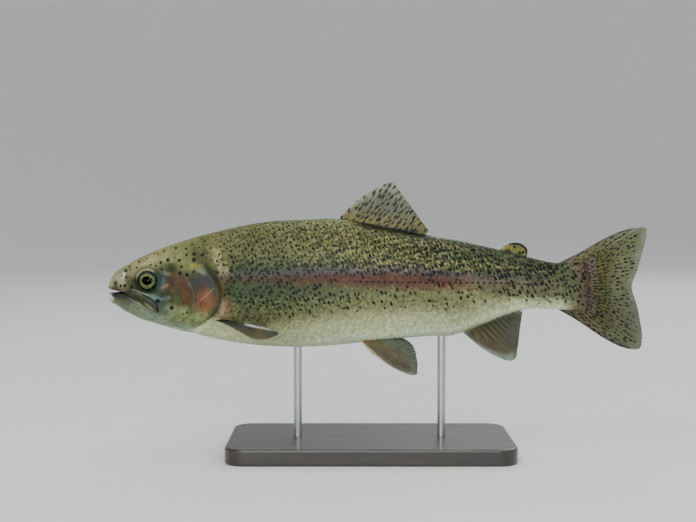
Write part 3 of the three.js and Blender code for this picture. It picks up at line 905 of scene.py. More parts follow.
def paint(mesh, s, colours):
    """Writes the colours and the markings to a mesh whose vertices lie at the places of s."""
    tint = body_tint(s, colours)
    tint = shoulder_tint(s, tint)
    tint = tail_root_tint(s, tint)
    soft = mix(0.5, 7, ease(16, 34, s.z)) + 3.5 * ease(-26, -36, s.z)
    tint = mix(tint, head_tint(s), ease(-soft, soft, s.gill - 0.1))
    paint_colours(mesh, "tint", tint)
    paint_numbers(mesh, "spotting", spot_density(s))
    small = mix(0.25, 0.31, ease(18, 8, s.above_line)) + 0.03 * ease(210, 290, s.x)
    small = mix(0.2, small, ease(80, 105, s.x))
    paint_numbers(mesh, "spot_size", small * mix(1, 0.93, ease(0, -8, s.above_line)))
    paint_numbers(mesh, "ink", ink_and_shade_field(s))
    behind = ease(-1, -6, s.gill)
    # Painted glints: cream specks standing in for the sparkle of the scales, most on the upper rear flank.
    painted_glints = ease(6, 14, s.above_line) * np.interp(s.x, [100, 150, 200, 290], [0.2, 0.45, 0.7, 0.9])
    ridge = ease(0.4, 0.65, s.above_line / s.top) * ease(215, 285, s.x)
    painted_glints *= (1 - 0.8 * np.maximum(ridge, ease(325, 345, s.x))) * (1 - dorsal_root_shadow(s))
    # Painted glints on the shoulder too.
    painted_glints = np.maximum(painted_glints, s.blob(84, 20, 3, 12, 24))
    paint_numbers(mesh, "fleck", behind * mix(painted_glints, 0.25, ease(-8, -16, s.above_line)))
    silver = ease(-4, -20, s.above_line)
    paint_numbers(mesh, "silver", silver * behind + 0.5 * ease(4, -14, s.z) * (1 - behind))
    jowl = s.blob(60, -22, 18, 8, -12) * (1 - behind)
    paint_numbers(mesh, "mottle", mix(1.6, 0.9 - 0.6 * silver, behind) + 1.6 * jowl)
    stripe = bell(s.above_line - 2, 6) * ease(110, 160, s.x)
    paint_numbers(mesh, "vein", mix(0.22 + 0.2 * jowl, 0.08 + 0.2 * stripe, behind))


BEAD_PITCH = 0.0043  # between the pores of the lateral line, in metres
WANDER = 0.0022  # how far the noise moves the outline of a mark, in metres
SPOT_SOFTNESS = 0.035  # half width of a spot's edge, as a share of the lattice


def marked_finish(name, coat):
    """The fish's skin: its painted tints, spots, painted glints and wet gloss."""
    f = Finish(name)
    colours = bpy.context.scene.trout_colours
    place_uv = f.uv("Body")
    where = f.where()
    wander = f.node("ShaderNodeTexNoise", {"Vector": where, "Scale": 420, "Detail": 2})
    middle = {0: wander.outputs["Color"], 1: (0.5, 0.5, 0.5)}
    centred = f.node("ShaderNodeVectorMath", middle, operation="SUBTRACT")
    shift = f.node("ShaderNodeVectorMath", {0: centred.outputs[0], "Scale": WANDER}, operation="SCALE")
    spread = f.node("ShaderNodeVectorMath", {0: place_uv, 1: shift.outputs[0]}, operation="ADD").outputs[0]

    grain = f.noise(where, 330, 2, 0.6)
    chance = f.number("chance") if coat else f.noise(where, 900, 1, 0.5)
    swing = f.times(f.minus(f.noise(where, 55, 3, 0.6), 0.5), f.number("mottle"))
    veins = f.ramp(f.noise(where, 190, 4, 0.75), 0.3, 0.7, -1, 1)
    value = f.times(
        f.plus(1.0, swing),
        f.ramp(grain, 0.2, 0.8, 0.84, 1.16),
        f.ramp(chance, 0, 1, 0.8, 1.18),
        f.ramp(f.number("rim"), 0.4, 1.0, 1.06, 0.74),
        f.plus(1.0, f.times(veins, f.number("vein"))),
    )
    base = f.shaded(f.colour("tint"), value)

    # Painted glints: cream specks over the scales in place of their sparkle.
    slant = f.stretched(spread, (1.0, 1.8, 1.0), 0.5, vector_type="TEXTURE")
    glint = f.plus(f.noise(slant, 760, 2, 0.6), f.times(f.minus(chance, 0.5), 0.22))
    base = f.mixed(f.times(f.ramp(glint, 0.5, 0.62), f.number("fleck")), base, tuple(colours.fleck))

    spots = spot_mask(f, spread, 340, 0.45, "spotting", 1.0)
    fine = spot_mask(f, spread, 470, 0.3, "spotting", 0.3)
    along = f.node("ShaderNodeSeparateXYZ", {0: place_uv}).outputs[0]
    beads = f.math("SINE", f.times(along, math.tau / BEAD_PITCH))
    line = f.times(f.ramp(beads, -0.4, 0.5), f.ramp(f.number("line"), 0.3, 0.8))
    streak = f.noise(where, 760, 2, 0.7)
    # Dark marks: the painted spots, and painted shade in the mouth, nostrils, jaw groove and gill slit.
    edge = f.plus(f.number("ink"), f.ramp(streak, 0.3, 0.7, -0.05, 0.04))
    marks = f.larger(spots, f.times(fine, 0.8), f.times(line, 0.85), f.ramp(edge, 0.44, 0.6))
    f.set(Base_Color=f.mixed(f.times(marks, 0.97), base, tuple(colours.ink)))

    silver = f.number("silver")
    f.set(Metallic=f.times(silver, f.minus(1.0, marks), 0.25))
    f.set(Roughness=f.minus(f.ramp(grain, 0.2, 0.8, 0.38, 0.54), f.times(silver, 0.06)))
    f.set(Coat_Weight=0.04, Coat_Roughness=0.22, Specular_IOR_Level=0.13)
    f.bump(f.noise(where, 1500 if coat else 800, 2, 0.6), 0.00006 if coat else 0.00016, 0.55)
    return f.material


def spot_mask(f, vector, scale, lean, density, share):
    """Irregular round spots on a loose lattice, in the share of its cells that density gives."""
    lattice = f.stretched(vector, (1.0, 1.5, 1.0), lean, vector_type="TEXTURE")
    cells, chance, size = f.cells(lattice, scale, 0.6)
    present = f.math("LESS_THAN", chance, f.times(f.number(density), share))
    size = f.times(f.number("spot_size"), f.ramp(size, 0, 1, 0.78, 1.22))
    inside = f.ramp(cells["Distance"], f.plus(size, SPOT_SOFTNESS), f.minus(size, SPOT_SOFTNESS))
    return f.times(present, inside)


# ---- The skin ----
def ring_places(count):
    """x of each ring, close together round the snout and over the head."""
    nose = SNOUT_CAP * (1 - np.cos(np.linspace(0, math.pi / 2, count // 11)))
    tail = BODY_LENGTH - TAIL_CAP * (1 - np.cos(np.linspace(math.pi / 2, 0, count // 28)))
    x = np.linspace(SNOUT_CAP, BODY_LENGTH - TAIL_CAP, 4000)
    dense = 1 / mix(0.5, 2.6, ease(88, 118, x))
    total = np.concatenate([[0], np.cumsum((dense[1:] + dense[:-1]) / 2)])
    steps = np.linspace(0, total[-1], count + 3 - len(nose) - len(tail))
    return np.concatenate([nose, np.interp(steps, total, x)[1:-1], tail])


def gill_shift(x, share):
    """How far a ring place moves so that the rings run along the gill opening."""
    at = chart.share_of(gill_path[:, 0], gill_path[:, 1])
    reach = np.interp(share, at, gill_path[:, 0]) - GILL_RING
    return reach * np.where(x < GILL_RING, ease(14, GILL_RING, x), ease(128, GILL_RING, x))


def column_share(x, column, count):
    """The share of the half girth of each column, with the lips along the mouth's edges."""
    upper = round(0.55 * count)
    lower = upper + 12
    level = mouth_level(x)
    gap = mouth_gap(x)
    top = np.maximum(chart.share_of(x, level + gap), 0.06)
    low = np.minimum(chart.share_of(x, level - gap), 0.94)
    turn = np.clip((column - upper) / (lower - upper), 0, 1) * math.pi
    slot = np.clip(chart.share_of(x, level + gap * np.cos(turn)), top, low)
    above = top * column / upper
    below = low + (1 - low) * (column - lower) / (count - lower)
    share = np.where(column <= upper, above, np.where(column >= lower, below, slot))
    return mix(share, column / count, ease(MOUTH_CORNER, MOUTH_REACH, x))


def open_mouth(x, y, normal, s):
    """Pushes the places between the lips back into the mouth."""
    inside = np.clip(1 - (s.lip / s.gap) ** 2, 0, 1) * (x < MOUTH_CORNER)
    depth = MOUTH_DEPTH * np.sqrt(inside) * ease(MOUTH_CORNER, 6, x)
    flat = normal[:, :2] / np.maximum(np.linalg.norm(normal[:, :2], axis=1), 1e-6)[:, None]
    flat = mix(flat, np.array([-1.0, 0.0])[None, :], ease(8, 3, x)[:, None])
    room = np.where(flat[:, 1] > 1e-3, 0.88 * y / np.maximum(flat[:, 1], 1e-3), 99)
    depth = np.minimum(depth, room)
    return x - depth * flat[:, 0], y - depth * flat[:, 1], inside


def signed_columns(mesh, column, count):
    """The signed column of each face corner, with the seam along the belly."""
    vertex, face = corners(mesh)
    value = column[vertex].astype(float)
    low = np.full(len(mesh.polygons), np.inf)
    high = np.full(len(mesh.polygons), -np.inf)
    np.minimum.at(low, face, np.where(np.isnan(value), np.inf, value))
    np.maximum.at(high, face, np.where(np.isnan(value), -np.inf, value))
    wraps = (high - low > count)[face]
    value = np.where(wraps & (value == count), -count, value)
    total = np.zeros(len(mesh.polygons))
    seen = np.zeros(len(mesh.polygons))
    np.add.at(total, face, np.nan_to_num(value))
    np.add.at(seen, face, ~np.isnan(value))
    middle = (total / seen)[face]
    return vertex, np.where(np.isnan(value), middle, value), np.sign(middle)


class TROUT_OT_skin(bpy.types.Operator):
    """One skin over the head, jaws, gill covers and body"""

    bl_idname = "trout.skin"
    bl_label = "Skin"

    def execute(self, context):
        size = context.scene.trout_skin
        bm = bmesh.new()
        bmesh.ops.create_uvsphere(bm, u_segments=2 * size.columns, v_segments=size.rings, radius=1)
        mesh = mesh_from(bm, "skin")
        sphere = read_places(mesh)
        turn = np.degrees(np.arctan2(sphere[:, 1], sphere[:, 0]))
        column = np.round(turn / 180 * size.columns)
        column[column == -size.columns] = size.columns
        ring = np.arccos(np.clip(sphere[:, 2], -1, 1)) / math.pi * size.rings
        ring = np.round(ring).astype(int)
        pole = (ring == 0) | (ring == size.rings)
        places = ring_places(size.rings)
        even = np.where(pole, 0.5, np.abs(column) / size.columns)
        x = places[ring] + gill_shift(places[ring], even)
        step = np.where(pole, size.columns / 2, np.abs(column))
        s = Survey(x, column_share(x, step, size.columns))
        side = np.where(pole, 0, np.sign(column)) * np.where(np.abs(column) == size.columns, 0, 1)
        normal = chart.normal(x, s.share)
        rise = relief(s, size.coat_depth / MM)
        new_x, new_y, inside = open_mouth(x, s.y, normal, s)
        rise = np.where(inside > 0, 0, rise)
        new_y = np.maximum(new_y + rise * normal[:, 1], 0)
        write_places(mesh, place(new_x + rise * normal[:, 0], side * new_y, s.z + rise * normal[:, 2]))
        column = np.where(pole, np.nan, column)
        vertex, signed, half = signed_columns(mesh, column, size.columns)
        write_map(mesh, "OFBake", 0.01 + 0.98 * ring[vertex] / size.rings, 0.5 + 0.49 * signed / size.columns)
        write_map(mesh, "Body", s.x[vertex] * MM, half * s.from_back[vertex] * MM)
        paint(mesh, s, context.scene.trout_colours)
        paint_numbers(mesh, "line", line_dots(s))
        turn_faces_out(mesh)
        flesh = ["head", "lower_jaw", "trunk", "tail_stalk"]
        flesh += [f"{part}_{side}" for part in ("gill_cover", "maxilla") for side in SIDES]
        finish_piece("skin", mesh, marked_finish("trout_skin", False), flesh)
        return {"FINISHED"}


# ---- The scales ----
BAKE_PATCH = 0.003  # width of a scale's patch on the bake map
COAT_SPLIT = 185  # x where the front pieces of the coat meet the rear ones
JITTER_SEED = 7
STRAY_SEED = 11


def scale_template(segments=10):
    """A thin plate, rounded at both ends, with its free edge to the rear."""
    bm = bmesh.new()
    bmesh.ops.create_uvsphere(bm, u_segments=segments, v_segments=2, radius=0.5)
    bmesh.ops.rotate(bm, matrix=Matrix.Rotation(math.pi / segments, 3, "Z"), verts=bm.verts)
    for vertex in bm.verts:
        if vertex.co.x > 0:
            vertex.co.x *= 1.1
        vertex.co.z *= 0.16 if vertex.co.z > 0 else 0.24
    bmesh.ops.triangulate(bm, faces=bm.faces)
    return mesh_from(bm, "scale")


def repeated(template, origin, along, across, out, name):
    """One mesh of a template's copies, each set by its origin and its three axes."""
    local = read_places(template)
    spots = origin[:, None, :] + sum(
        axis[:, None, :] * local[None, :, i, None] for i, axis in enumerate((along, across, out))
    )
    count = len(origin)
    corner, _ = corners(template)
    loops = (corner[None, :] + np.arange(count)[:, None] * len(local)).ravel()
    mesh = bpy.data.meshes.new(name)
    mesh.vertices.add(count * len(local))
    mesh.loops.add(len(loops))
    mesh.polygons.add(len(loops) // 3)
    mesh.vertices.foreach_set("co", spots.astype(np.float32).ravel())
    mesh.loops.foreach_set("vertex_index", loops.astype(np.int32))
    mesh.polygons.foreach_set("loop_start", np.arange(0, len(loops), 3, dtype=np.int32))
    mesh.update(calc_edges=True)
    return mesh, local


def mark_rims_sharp(mesh):
    """Keeps the rim of each scale crisp."""
    bm = bmesh.new()
    bm.from_mesh(mesh)
    for edge in bm.edges:
        edge.smooth = edge.calc_face_angle(0) < math.radians(16)
    bm.to_mesh(mesh)
    bm.free()


def scale_rows(size):
    """x and the share of the half girth of every scale's root on one side."""
    pitch = size.pitch / MM
    row_pitch = size.row_pitch / MM
    rows = np.arange(-48, 60)
    across, down = np.meshgrid(np.arange(60, 353, pitch), rows)
    x = across + np.where(down % 2 == 0, 0, pitch / 2)
    x = x.ravel()
    line = chart.share_of(x, np.interp(x, *LATERAL_LINE.T))
    share = line + down.ravel() * row_pitch / chart.half_girth(x)
    keep = (share > 0.006) & (share < 0.994) & (x < 351)
    return x[keep], share[keep]


class TROUT_OT_scales(bpy.types.Operator):
    """Overlapping scales over the body, one piece for each side and end"""

    bl_idname = "trout.scales"
    bl_label = "Scales"

    def execute(self, context):
        size = context.scene.trout_scales
        template = scale_template()
        finish = marked_finish("trout_scales", True)
        x, share = scale_rows(size)
        s = Survey(x, share)
        keep = (scaled_share(s) > 0.35) & (s.gill < -1.6)
        x, share = x[keep], share[keep]
        rng = np.random.default_rng(JITTER_SEED)
        for name, side in SIDES.items():
            jitter = rng.normal(0, 0.06, (2, len(x)))
            for part, chosen in (("front", x < COAT_SPLIT), ("rear", x >= COAT_SPLIT)):
                s = Survey(x[chosen] + jitter[0, chosen], share[chosen])
                chance = rng.random(len(s.x))
                mesh = self.scales(context, template, s, side, chance, f"scales_{part}_{name}")
                finish_piece(f"scales_{part}_{name}", mesh, finish)
        bpy.data.meshes.remove(template)
        return {"FINISHED"}

    def scales(self, context, template, s, side, chance, name):
        size = context.scene.trout_scales
        depth = context.scene.trout_skin.coat_depth / MM
        normal = chart.normal(s.x, s.share)
        step = 0.6
        y, z = chart.at(s.x + step, s.share)
        along = np.stack([np.full(len(s.x), step), y - s.y, z - s.z], 1)
        along -= (along * normal).sum(1, keepdims=True) * normal
        along /= np.linalg.norm(along, axis=1, keepdims=True)
        across = np.cross(normal, along)
        small = mix(0.62, 1, ease(-1.2, -7, s.gill)) * mix(1, 0.72, ease(250, 350, s.x))
        small *= mix(1, 0.85, ease(8, 1, s.from_belly)) * (1 + 0.1 * (chance - 0.5))
        lift = math.asin(size.lift / size.length)
        lean = along * math.cos(lift) + normal * math.sin(lift)
        out = normal * math.cos(lift) - along * math.sin(lift)
        rise = relief(s, depth) - 0.03 + 0.5 * size.lift / MM
        root = np.stack([s.x, s.y, s.z], 1)
        centre = root + along * (0.35 * size.length / MM * small)[:, None] + normal * rise[:, None]
        length = (size.length / MM * small)[:, None]
        width = (size.width / MM * small)[:, None]
        mesh, local = repeated(template, centre, lean * length, across * width, out * length, name)
        spots = read_places(mesh)
        write_places(mesh, place(spots[:, 0], side * spots[:, 1], spots[:, 2]))
        count = len(local)
        rng = np.random.default_rng(STRAY_SEED)
        stray = rng.normal(0, 1, (2, len(s.x))) * ease(-3, -9, s.gill) * small
        share = np.clip(s.share + 0.9 * stray[1] / s.half_girth, 0.001, 0.999)
        each = Survey(np.repeat(s.x + 1.3 * stray[0], count), np.repeat(share, count))
        paint(mesh, each, context.scene.trout_colours)
        paint_numbers(mesh, "line", np.repeat(line_dots(s), count))
        paint_numbers(mesh, "chance", np.repeat(chance, count))
        edge = 2 * np.hypot(local[:, 0], local[:, 1])
        paint_numbers(mesh, "rim", np.tile(edge, len(s.x)))
        vertex, _ = corners(mesh)
        u = np.repeat(s.x, count) + (local[None, :, 0] * length).ravel()
        flip = np.sign((across * np.stack([0 * s.x, s.y, -np.abs(s.z)], 1)).sum(1))
        v = np.repeat(s.from_back, count) + (local[None, :, 1] * width).ravel() * np.repeat(flip, count)
        write_map(mesh, "Body", u[vertex] * MM, side * v[vertex] * MM)
        patch = BAKE_PATCH / np.ptp(local[:, 0])
        u = 0.05 + 0.9 * np.repeat(s.x, count) / TOTAL_LENGTH + np.tile(local[:, 0], len(s.x)) * patch
        v = 0.5 + side * 0.9 * np.repeat(s.from_back, count) / TOTAL_LENGTH
        v += np.tile(local[:, 1], len(s.x)) * patch
        write_map(mesh, "OFBake", u[vertex], v[vertex])
        turn_faces_out(mesh)
        mark_rims_sharp(mesh)
        return mesh


# ---- The eyes ----
def spun(profile, segments, name):
    """A round shape from a profile of radius and height, its axis along z."""
    bm = bmesh.new()
    chain = [bm.verts.new((r, 0, w)) for r, w in profile]
    edges = [bm.edges.new(pair) for pair in zip(chain[:-1], chain[1:])]
    bmesh.ops.spin(
        bm,
        geom=chain + edges,
        cent=(0, 0, 0),
        axis=(0, 0, 1),
        angle=math.tau,
        steps=segments,
        use_merge=True,
    )
    bmesh.ops.remove_doubles(bm, verts=bm.verts, dist=1e-5)
    bmesh.ops.recalc_face_normals(bm, faces=bm.faces)
    return mesh_from(bm, name)


IRIS_PROFILE = [(0, -0.9), (1.8, -0.85), (3.2, -0.5), (3.95, 0.4), (4.15, 1.0), (4.35, 1.2)]
IRIS_PROFILE += [(4.55, 1.22), (5.0, 1.1), (5.6, 0.95), (6.3, 0.76), (6.7, 0.6)]
IRIS_PROFILE += [(7.0, 0.3), (7.25, -0.2), (7.35, -0.9), (6.4, -2.4), (4.0, -3.4), (0, -3.8)]
CORNEA_OUTER = [(0, 3.3), (1.5, 3.2), (3, 2.9), (4.5, 2.38), (5.8, 1.72), (6.6, 1.2), (7.2, 0.6)]


def eye_axes(side):
    """The eye's own axes: forwards, upwards and outwards, in the side view."""
    turn = EYE_TURN
    tilt = math.radians(5)
    out = Vector((-math.sin(turn) * math.cos(tilt), side * math.cos(turn) * math.cos(tilt), math.sin(tilt)))
    ahead = Vector((0, 0, 1)).cross(out) * -side
    ahead.normalize()
    up = out.cross(ahead) * side
    return np.array(ahead), np.array(up), np.array(out)


def seat_eye(mesh, side):
    """Moves an eye part from its own axes to the head."""
    local = read_places(mesh)
    ahead, up, out = eye_axes(side)
    centre = np.array([EYE[0], side * (EYE_DEPTH + 0.25), EYE[1]])
    where = centre + local[:, :1] * ahead + local[:, 1:2] * up + local[:, 2:] * out
    write_places(mesh, place(*where.T))
    turn_faces_out(mesh)


def radii(local):
    return np.hypot(local[:, 0], local[:, 1])


def iris_tint(local):
    """Gold round the pupil, green gold beyond, and a dark band ahead and behind."""
    r = radii(local)
    angle = np.arctan2(local[:, 1], local[:, 0])
    gold = tone_of("7b7333")
    green = tone_of("43552d")
    olive = tone_of("5c6a36")
    dark = tone_of("11221d")
    black = tone_of("000000")
    tint = mix(olive, green, ease(4.9, 5.7, r))
    band = bell(np.sin(angle), 0.42) * ease(4.3, 4.8, r)
    tint = mix(tint, dark, 0.75 * band)
    tint = mix(tint, gold, bell(r - 4.5, 0.26))
    tint = mix(tint, dark, ease(5.6, 6.2, r))
    return mix(black, tint, ease(4.0, 4.3, r))


class TROUT_OT_eyes(bpy.types.Operator):
    """Both eyes: a deep pupil, an iris and a clear dome"""

    bl_idname = "trout.eyes"
    bl_label = "Eyes"

    def execute(self, context):
        iris = self.iris_finish()
        clear = self.cornea_finish()
        for name, side in SIDES.items():
            mesh = spun(IRIS_PROFILE, 96, f"eye_ball_{name}")
            local = read_places(mesh)
            inner = local[:, 2] > 0
            reach = bell(radii(local) - 4.2, 1.5) * inner
            tint = iris_tint(local)
            local[:, 0] += reach * 0.75 * ease(1.5, 4, local[:, 0]) * bell(local[:, 1], 1.7)
            local[:, 1] *= 1 - 0.2 * reach
            write_places(mesh, local)
            paint_colours(mesh, "tint", tint)
            paint_numbers(mesh, "iris", ease(4.0, 4.4, radii(local)))
            vertex, _ = corners(mesh)
            angle = np.arctan2(local[:, 1], local[:, 0]) / math.tau
            write_map(mesh, "Iris", np.abs(angle[vertex]), radii(local)[vertex] / 8)
            seat_eye(mesh, side)
            finish_piece(f"eye_ball_{name}", mesh, iris, [f"eye_{name}"])
            inside = [(max(r - 0.12, 0), w - 0.16) for r, w in CORNEA_OUTER[::-1]]
            dome = spun(CORNEA_OUTER + inside, 64, f"eye_dome_{name}")
            seat_eye(dome, side)
            finish_piece(f"eye_dome_{name}", dome, clear)
        return {"FINISHED"}

    def iris_finish(self):
        f = Finish("trout_iris")
        streak = f.noise(f.stretched(f.uv("Iris"), (46, 5, 1)), 1.0, 3, 0.6)
        f.set(Base_Color=f.shaded(f.colour("tint"), f.ramp(streak, 0.3, 0.7, 0.6, 1.3)))
        f.set(Roughness=f.ramp(f.number("iris"), 0, 1, 0.95, 0.45))
        f.set(Specular_IOR_Level=0.15)
        f.bump(f.times(streak, f.number("iris")), 0.0001, 0.5)
        return f.material

    def cornea_finish(self):
        f = Finish("trout_cornea")
        film = f.noise(f.where(), 260, 2, 0.5)
        f.set(Base_Color=f.mixed(film, (0.96, 0.98, 0.97), (1, 1, 1)))
        f.set(Roughness=0.025, IOR=1.1, Transmission_Weight=1.0)
        return f.material


# ---- The fins ----
def fin_lines(root, rim, steps):
    """The root line and the rim line of a fin, as x and z for each share u of its width."""
    u = np.linspace(0, 1, steps)
    lines = []
    for points in (root, rim):
        points = np.array(points, float)
        lines.append(np.stack([smooth_through(u, points[:, 0], points[:, i]) for i in (1, 2)], 1))
    return lines


class FinPlaces:
    """Shares u across and v along a fin, ray height, and the rest in mm.

    reach is the ray's length, foot the distance from the root line, even the distance across the
    fin at the middle of its rays, and spread how much wider the rays stand here than there.
    """

    def __init__(self, **fields):
        vars(self).update(fields)


class Fin:
    """A fin as a fan of rays from its root line to its rim, in its own plane."""

    branch = 0.55
    bow = 0.0
    wave = 0.0
    sink = 4.0
    steps = 44
    fine = 10
    thick = 1.0
    rim_thick = 1.0

    def __init__(self, name, root, rim, rays, **shape):
        self.name = name
        self.root = root
        self.rim = rim
        self.rays = rays
        vars(self).update(shape)

    def build(self, size):
        """The mesh, and where each of its vertices lies on the fin."""
        bm = bmesh.new()
        bmesh.ops.create_grid(bm, x_segments=self.rays * self.fine, y_segments=self.steps, size=0.5)
        sheet = bm.faces[:]
        made = bmesh.ops.extrude_face_region(bm, geom=sheet, use_keep_orig=True)
        far = {v for v in made["geom"] if isinstance(v, bmesh.types.BMVert)}
        for vertex in bm.verts:
            vertex.co.z = 1 if vertex in far else -1
        mesh = mesh_from(bm, self.name)
        local = read_places(mesh)
        u = np.clip(local[:, 0] + 0.5, 0, 1)
        v = np.clip(local[:, 1] + 0.5, 0, 1)
        root, rim = fin_lines(self.root, self.rim, 400)
        at = np.linspace(0, 1, 400)
        low = np.stack([np.interp(u, at, root[:, i]) for i in (0, 1)], 1)
        high = np.stack([np.interp(u, at, rim[:, i]) for i in (0, 1)], 1)
        reach = np.linalg.norm(high - low, axis=1, keepdims=True)
        heading = (high - low) / np.maximum(reach, 1e-6)
        low = low - heading * self.sink
        ray = self.ray_height(u, v)
        length = v + (0.011 * (ray - 0.5) * ease(0.93, 1, v))
        flat = low + (high - low) * length[:, None]
        normal = np.stack([-heading[:, 1], heading[:, 0]], 1)
        flat += normal * (self.bow * np.sin(math.pi * v) * np.minimum(reach[:, 0] / 30, 1))[:, None]
        drift = [np.gradient(line[:, i], at) for line in (root, rim) for i in (0, 1)]
        drift = [np.interp(u, at, values) for values in drift]
        move = np.stack([mix(drift[0], drift[2], v), mix(drift[1], drift[3], v)], 1)
        spread = np.abs((move * normal).sum(1))
        middle = self.spread_along(root, rim, at)
        across = np.concatenate([[0], np.cumsum((middle[1:] + middle[:-1]) / 2)]) * at[1]
        even = np.interp(u, at, across)
        spread /= np.interp(u, at, middle)
        half = self.half_thickness(size, u, v, reach[:, 0], ray)
        wave = self.wave * np.sin(u * 7.1 + 0.6) * v**1.5
        write_places(mesh, np.stack([flat[:, 0], local[:, 2] * half + wave, flat[:, 1]], 1))
        turn_faces_out(mesh)
        reach = reach[:, 0]
        fields = {"u": u, "v": v, "ray": ray, "reach": reach, "foot": v * reach, "x": flat[:, 0]}
        return mesh, FinPlaces(even=even, spread=spread, **fields)

    def spread_along(self, root, rim, at, v=0.6):
        """How fast the fin widens with u, across its rays, at one height."""
        ray = rim - root
        ray /= np.maximum(np.linalg.norm(ray, axis=1, keepdims=True), 1e-6)
        move = np.gradient(mix(root, rim, v), at, axis=0)
        return np.maximum(np.abs(move[:, 0] * ray[:, 1] - move[:, 1] * ray[:, 0]), 4)

    def ray_height(self, u, v):
        """1 on top of a ray, 0 between rays. Rays fork on their way to the rim."""
        single = 0.5 + 0.5 * np.cos(math.tau * (u * self.rays - 0.5))
        double = 0.5 + 0.5 * np.cos(math.tau * 2 * (u * self.rays - 0.25))
        forked = ease(self.branch - 0.12, self.branch + 0.12, v)
        return mix(single**1.6, double**1.3, forked)

    def half_thickness(self, size, u, v, reach, ray):
        root = size.root / MM * self.thick
        rim = size.rim / MM * self.rim_thick
        fall = np.exp(-v * reach / 5.5)
        edge = np.minimum(ease(0, 0.02, u) + 0.25, ease(1, 0.98, u) + 0.25)
        web = mix(rim, root, fall) + 0.35 * rim * (1 - v)
        lead = 0.35 * bell(u, 0.06) * ease(0, 0.1, v) * (1 - 0.6 * v)
        swell = size.ray / MM * ray * ease(1.02, 0.75, v)
        return (web + lead + swell) * np.clip(edge, 0, 1)


DORSAL = Fin(
    "dorsal_fin",
    [(0, 172, 47.2), (0.35, 191, 44), (0.7, 214, 39.8), (1, 234.5, 37.4)],
    [
        (0, 171.6, 50.4), (0.06, 180.5, 59.6), (0.13, 191.5, 68), (0.21, 204.6, 75),
        (0.26, 209.4, 76.2), (0.42, 215.6, 69.6), (0.62, 223.4, 59), (0.82, 231, 48.6),
        (1, 237.2, 40.4),
    ],
    14,
    bow=-1.4,
    wave=0.5,
)
TAIL = Fin(
    "tail_fin",
    [
        (0, 331, 11.5), (0.07, 342, 14.0), (0.14, 351, 15.5), (0.3, 353.5, 9.5), (0.5, 354.5, -1),
        (0.7, 353.5, -11.5), (0.86, 351, -17.5), (0.93, 342, -16.6), (1, 329, -12.6),
    ],
    [
        (0, 331, 14.6), (0.045, 350, 24.0), (0.085, 369, 34.6), (0.12, 384, 40.8),
        (0.15, 397.4, 42.6), (0.2, 400.2, 38.5), (0.28, 398.2, 28), (0.39, 393.2, 10),
        (0.5, 389.4, -2), (0.6, 393, -14), (0.7, 396, -27), (0.8, 397.6, -41.5),
        (0.85, 394.8, -48.6), (0.89, 381.5, -46.6), (0.925, 366.5, -38.8), (0.96, 349.5, -27.4),
        (1, 329, -15.6),
    ],
    30,
    branch=0.42,
    sink=3.0,
    fine=8,
    steps=56,
    thick=1.1,
    wave=0.35,
)
ANAL = Fin(
    "anal_fin",
    [(0, 264, -33.2), (0.4, 281, -26.5), (0.75, 296, -21.2), (1, 305, -18.8)],
    [
        (0, 263, -35.6), (0.08, 275, -45.6), (0.15, 286, -52.6), (0.22, 296, -56.6),
        (0.29, 301.4, -56), (0.45, 304, -47.6), (0.7, 305.6, -33.6), (1, 307.3, -20.2),
    ],
    13,
    bow=1.0,
    wave=-0.4,
)
ADIPOSE = Fin(
    "adipose_fin",
    [(0, 288.4, 24.4), (0.5, 299, 21.2), (1, 305.4, 19.6)],
    [
        (0, 288.6, 25.4), (0.25, 295.4, 29.9), (0.5, 301.6, 31.4), (0.72, 307.4, 29.9),
        (0.88, 310.8, 25.6), (1, 310, 21.2),
    ],
    4,
    sink=3.0,
    steps=26,
    fine=12,
    rim_thick=3.2,
    thick=1.1,
)
PELVIC = Fin(
    "pelvic_fin",
    [(0, 188.6, -43), (0.5, 193.6, -40.6), (1, 199, -38)],
    [
        (0, 195, -50.4), (0.08, 208, -59.4), (0.16, 220, -65.4), (0.24, 226.6, -66.4),
        (0.4, 228.4, -62), (0.6, 228, -54), (0.8, 225, -45.2), (0.92, 217, -40.2), (1, 205, -38.2),
    ],
    10,
    sink=3.0,
    wave=0.4,
)
PECTORAL = Fin(
    "pectoral_fin",
    [(0, 1.5, 0.4), (0.5, 1, -1.8), (1, 0.6, -4.2)],
    [
        (0, 17, 2.3), (0.08, 37, 2.0), (0.16, 50, 0.4), (0.22, 52.2, -1.8), (0.42, 46, -8),
        (0.62, 36, -15), (0.78, 26, -18.6), (0.9, 16, -17.4), (1, 7.4, -11),
    ],
    13,
    sink=4.0,
    wave=0.6,
    thick=1.2,
)
PELVIC_SPLAY = math.radians(17)
PELVIC_ROOT = (192, 6.5, -40)
PECTORAL_ROOT = (80, 18, -23.8)
PECTORAL_SWEEP = math.radians(25)
PECTORAL_DROP = math.radians(8)
PECTORAL_TWIST = math.radians(54)


def turned(places, *turns):
    """Places turned about the axes in order, each turn an axis name and an angle."""
    for axis, angle in turns:
        places = places @ np.array(Matrix.Rotation(angle, 3, axis)).T
    return places


def dorsal_tint(p):
    tint = mix(tone_of("454a31"), tone_of("5a5e48"), ease(0.35, 0.95, p.v))
    tint = mix(tint, tone_of("655b22"), 0.85 * ease(19, 6, p.foot))
    tint = mix(tint, tone_of("77682a"), 0.8 * ease(0.6, 0.9, p.u) * ease(0.5, 0.15, p.v))
    return mix(tint, tone_of("8f9786"), 0.7 * ease(0.75, 1, p.v) * ease(0.6, 0.3, p.u))


UPPER_TIP = 0.16  # shares of the tail fin's width at the tips of its lobes
LOWER_TIP = 0.845
EDGE_SLOPE = 0.3  # the outer rays meet the edge at a small angle


def outer_edge(p):
    """How far a place on the tail fin lies from the outer edge of its lobe, in mm."""
    rear = 9 * ease(UPPER_TIP - 0.03, UPPER_TIP, p.u) * ease(LOWER_TIP + 0.03, LOWER_TIP, p.u)
    upper = 0.9 * ease(0.5, 0.45, p.u)
    return EDGE_SLOPE * (1 - p.v) * p.reach + rear + upper


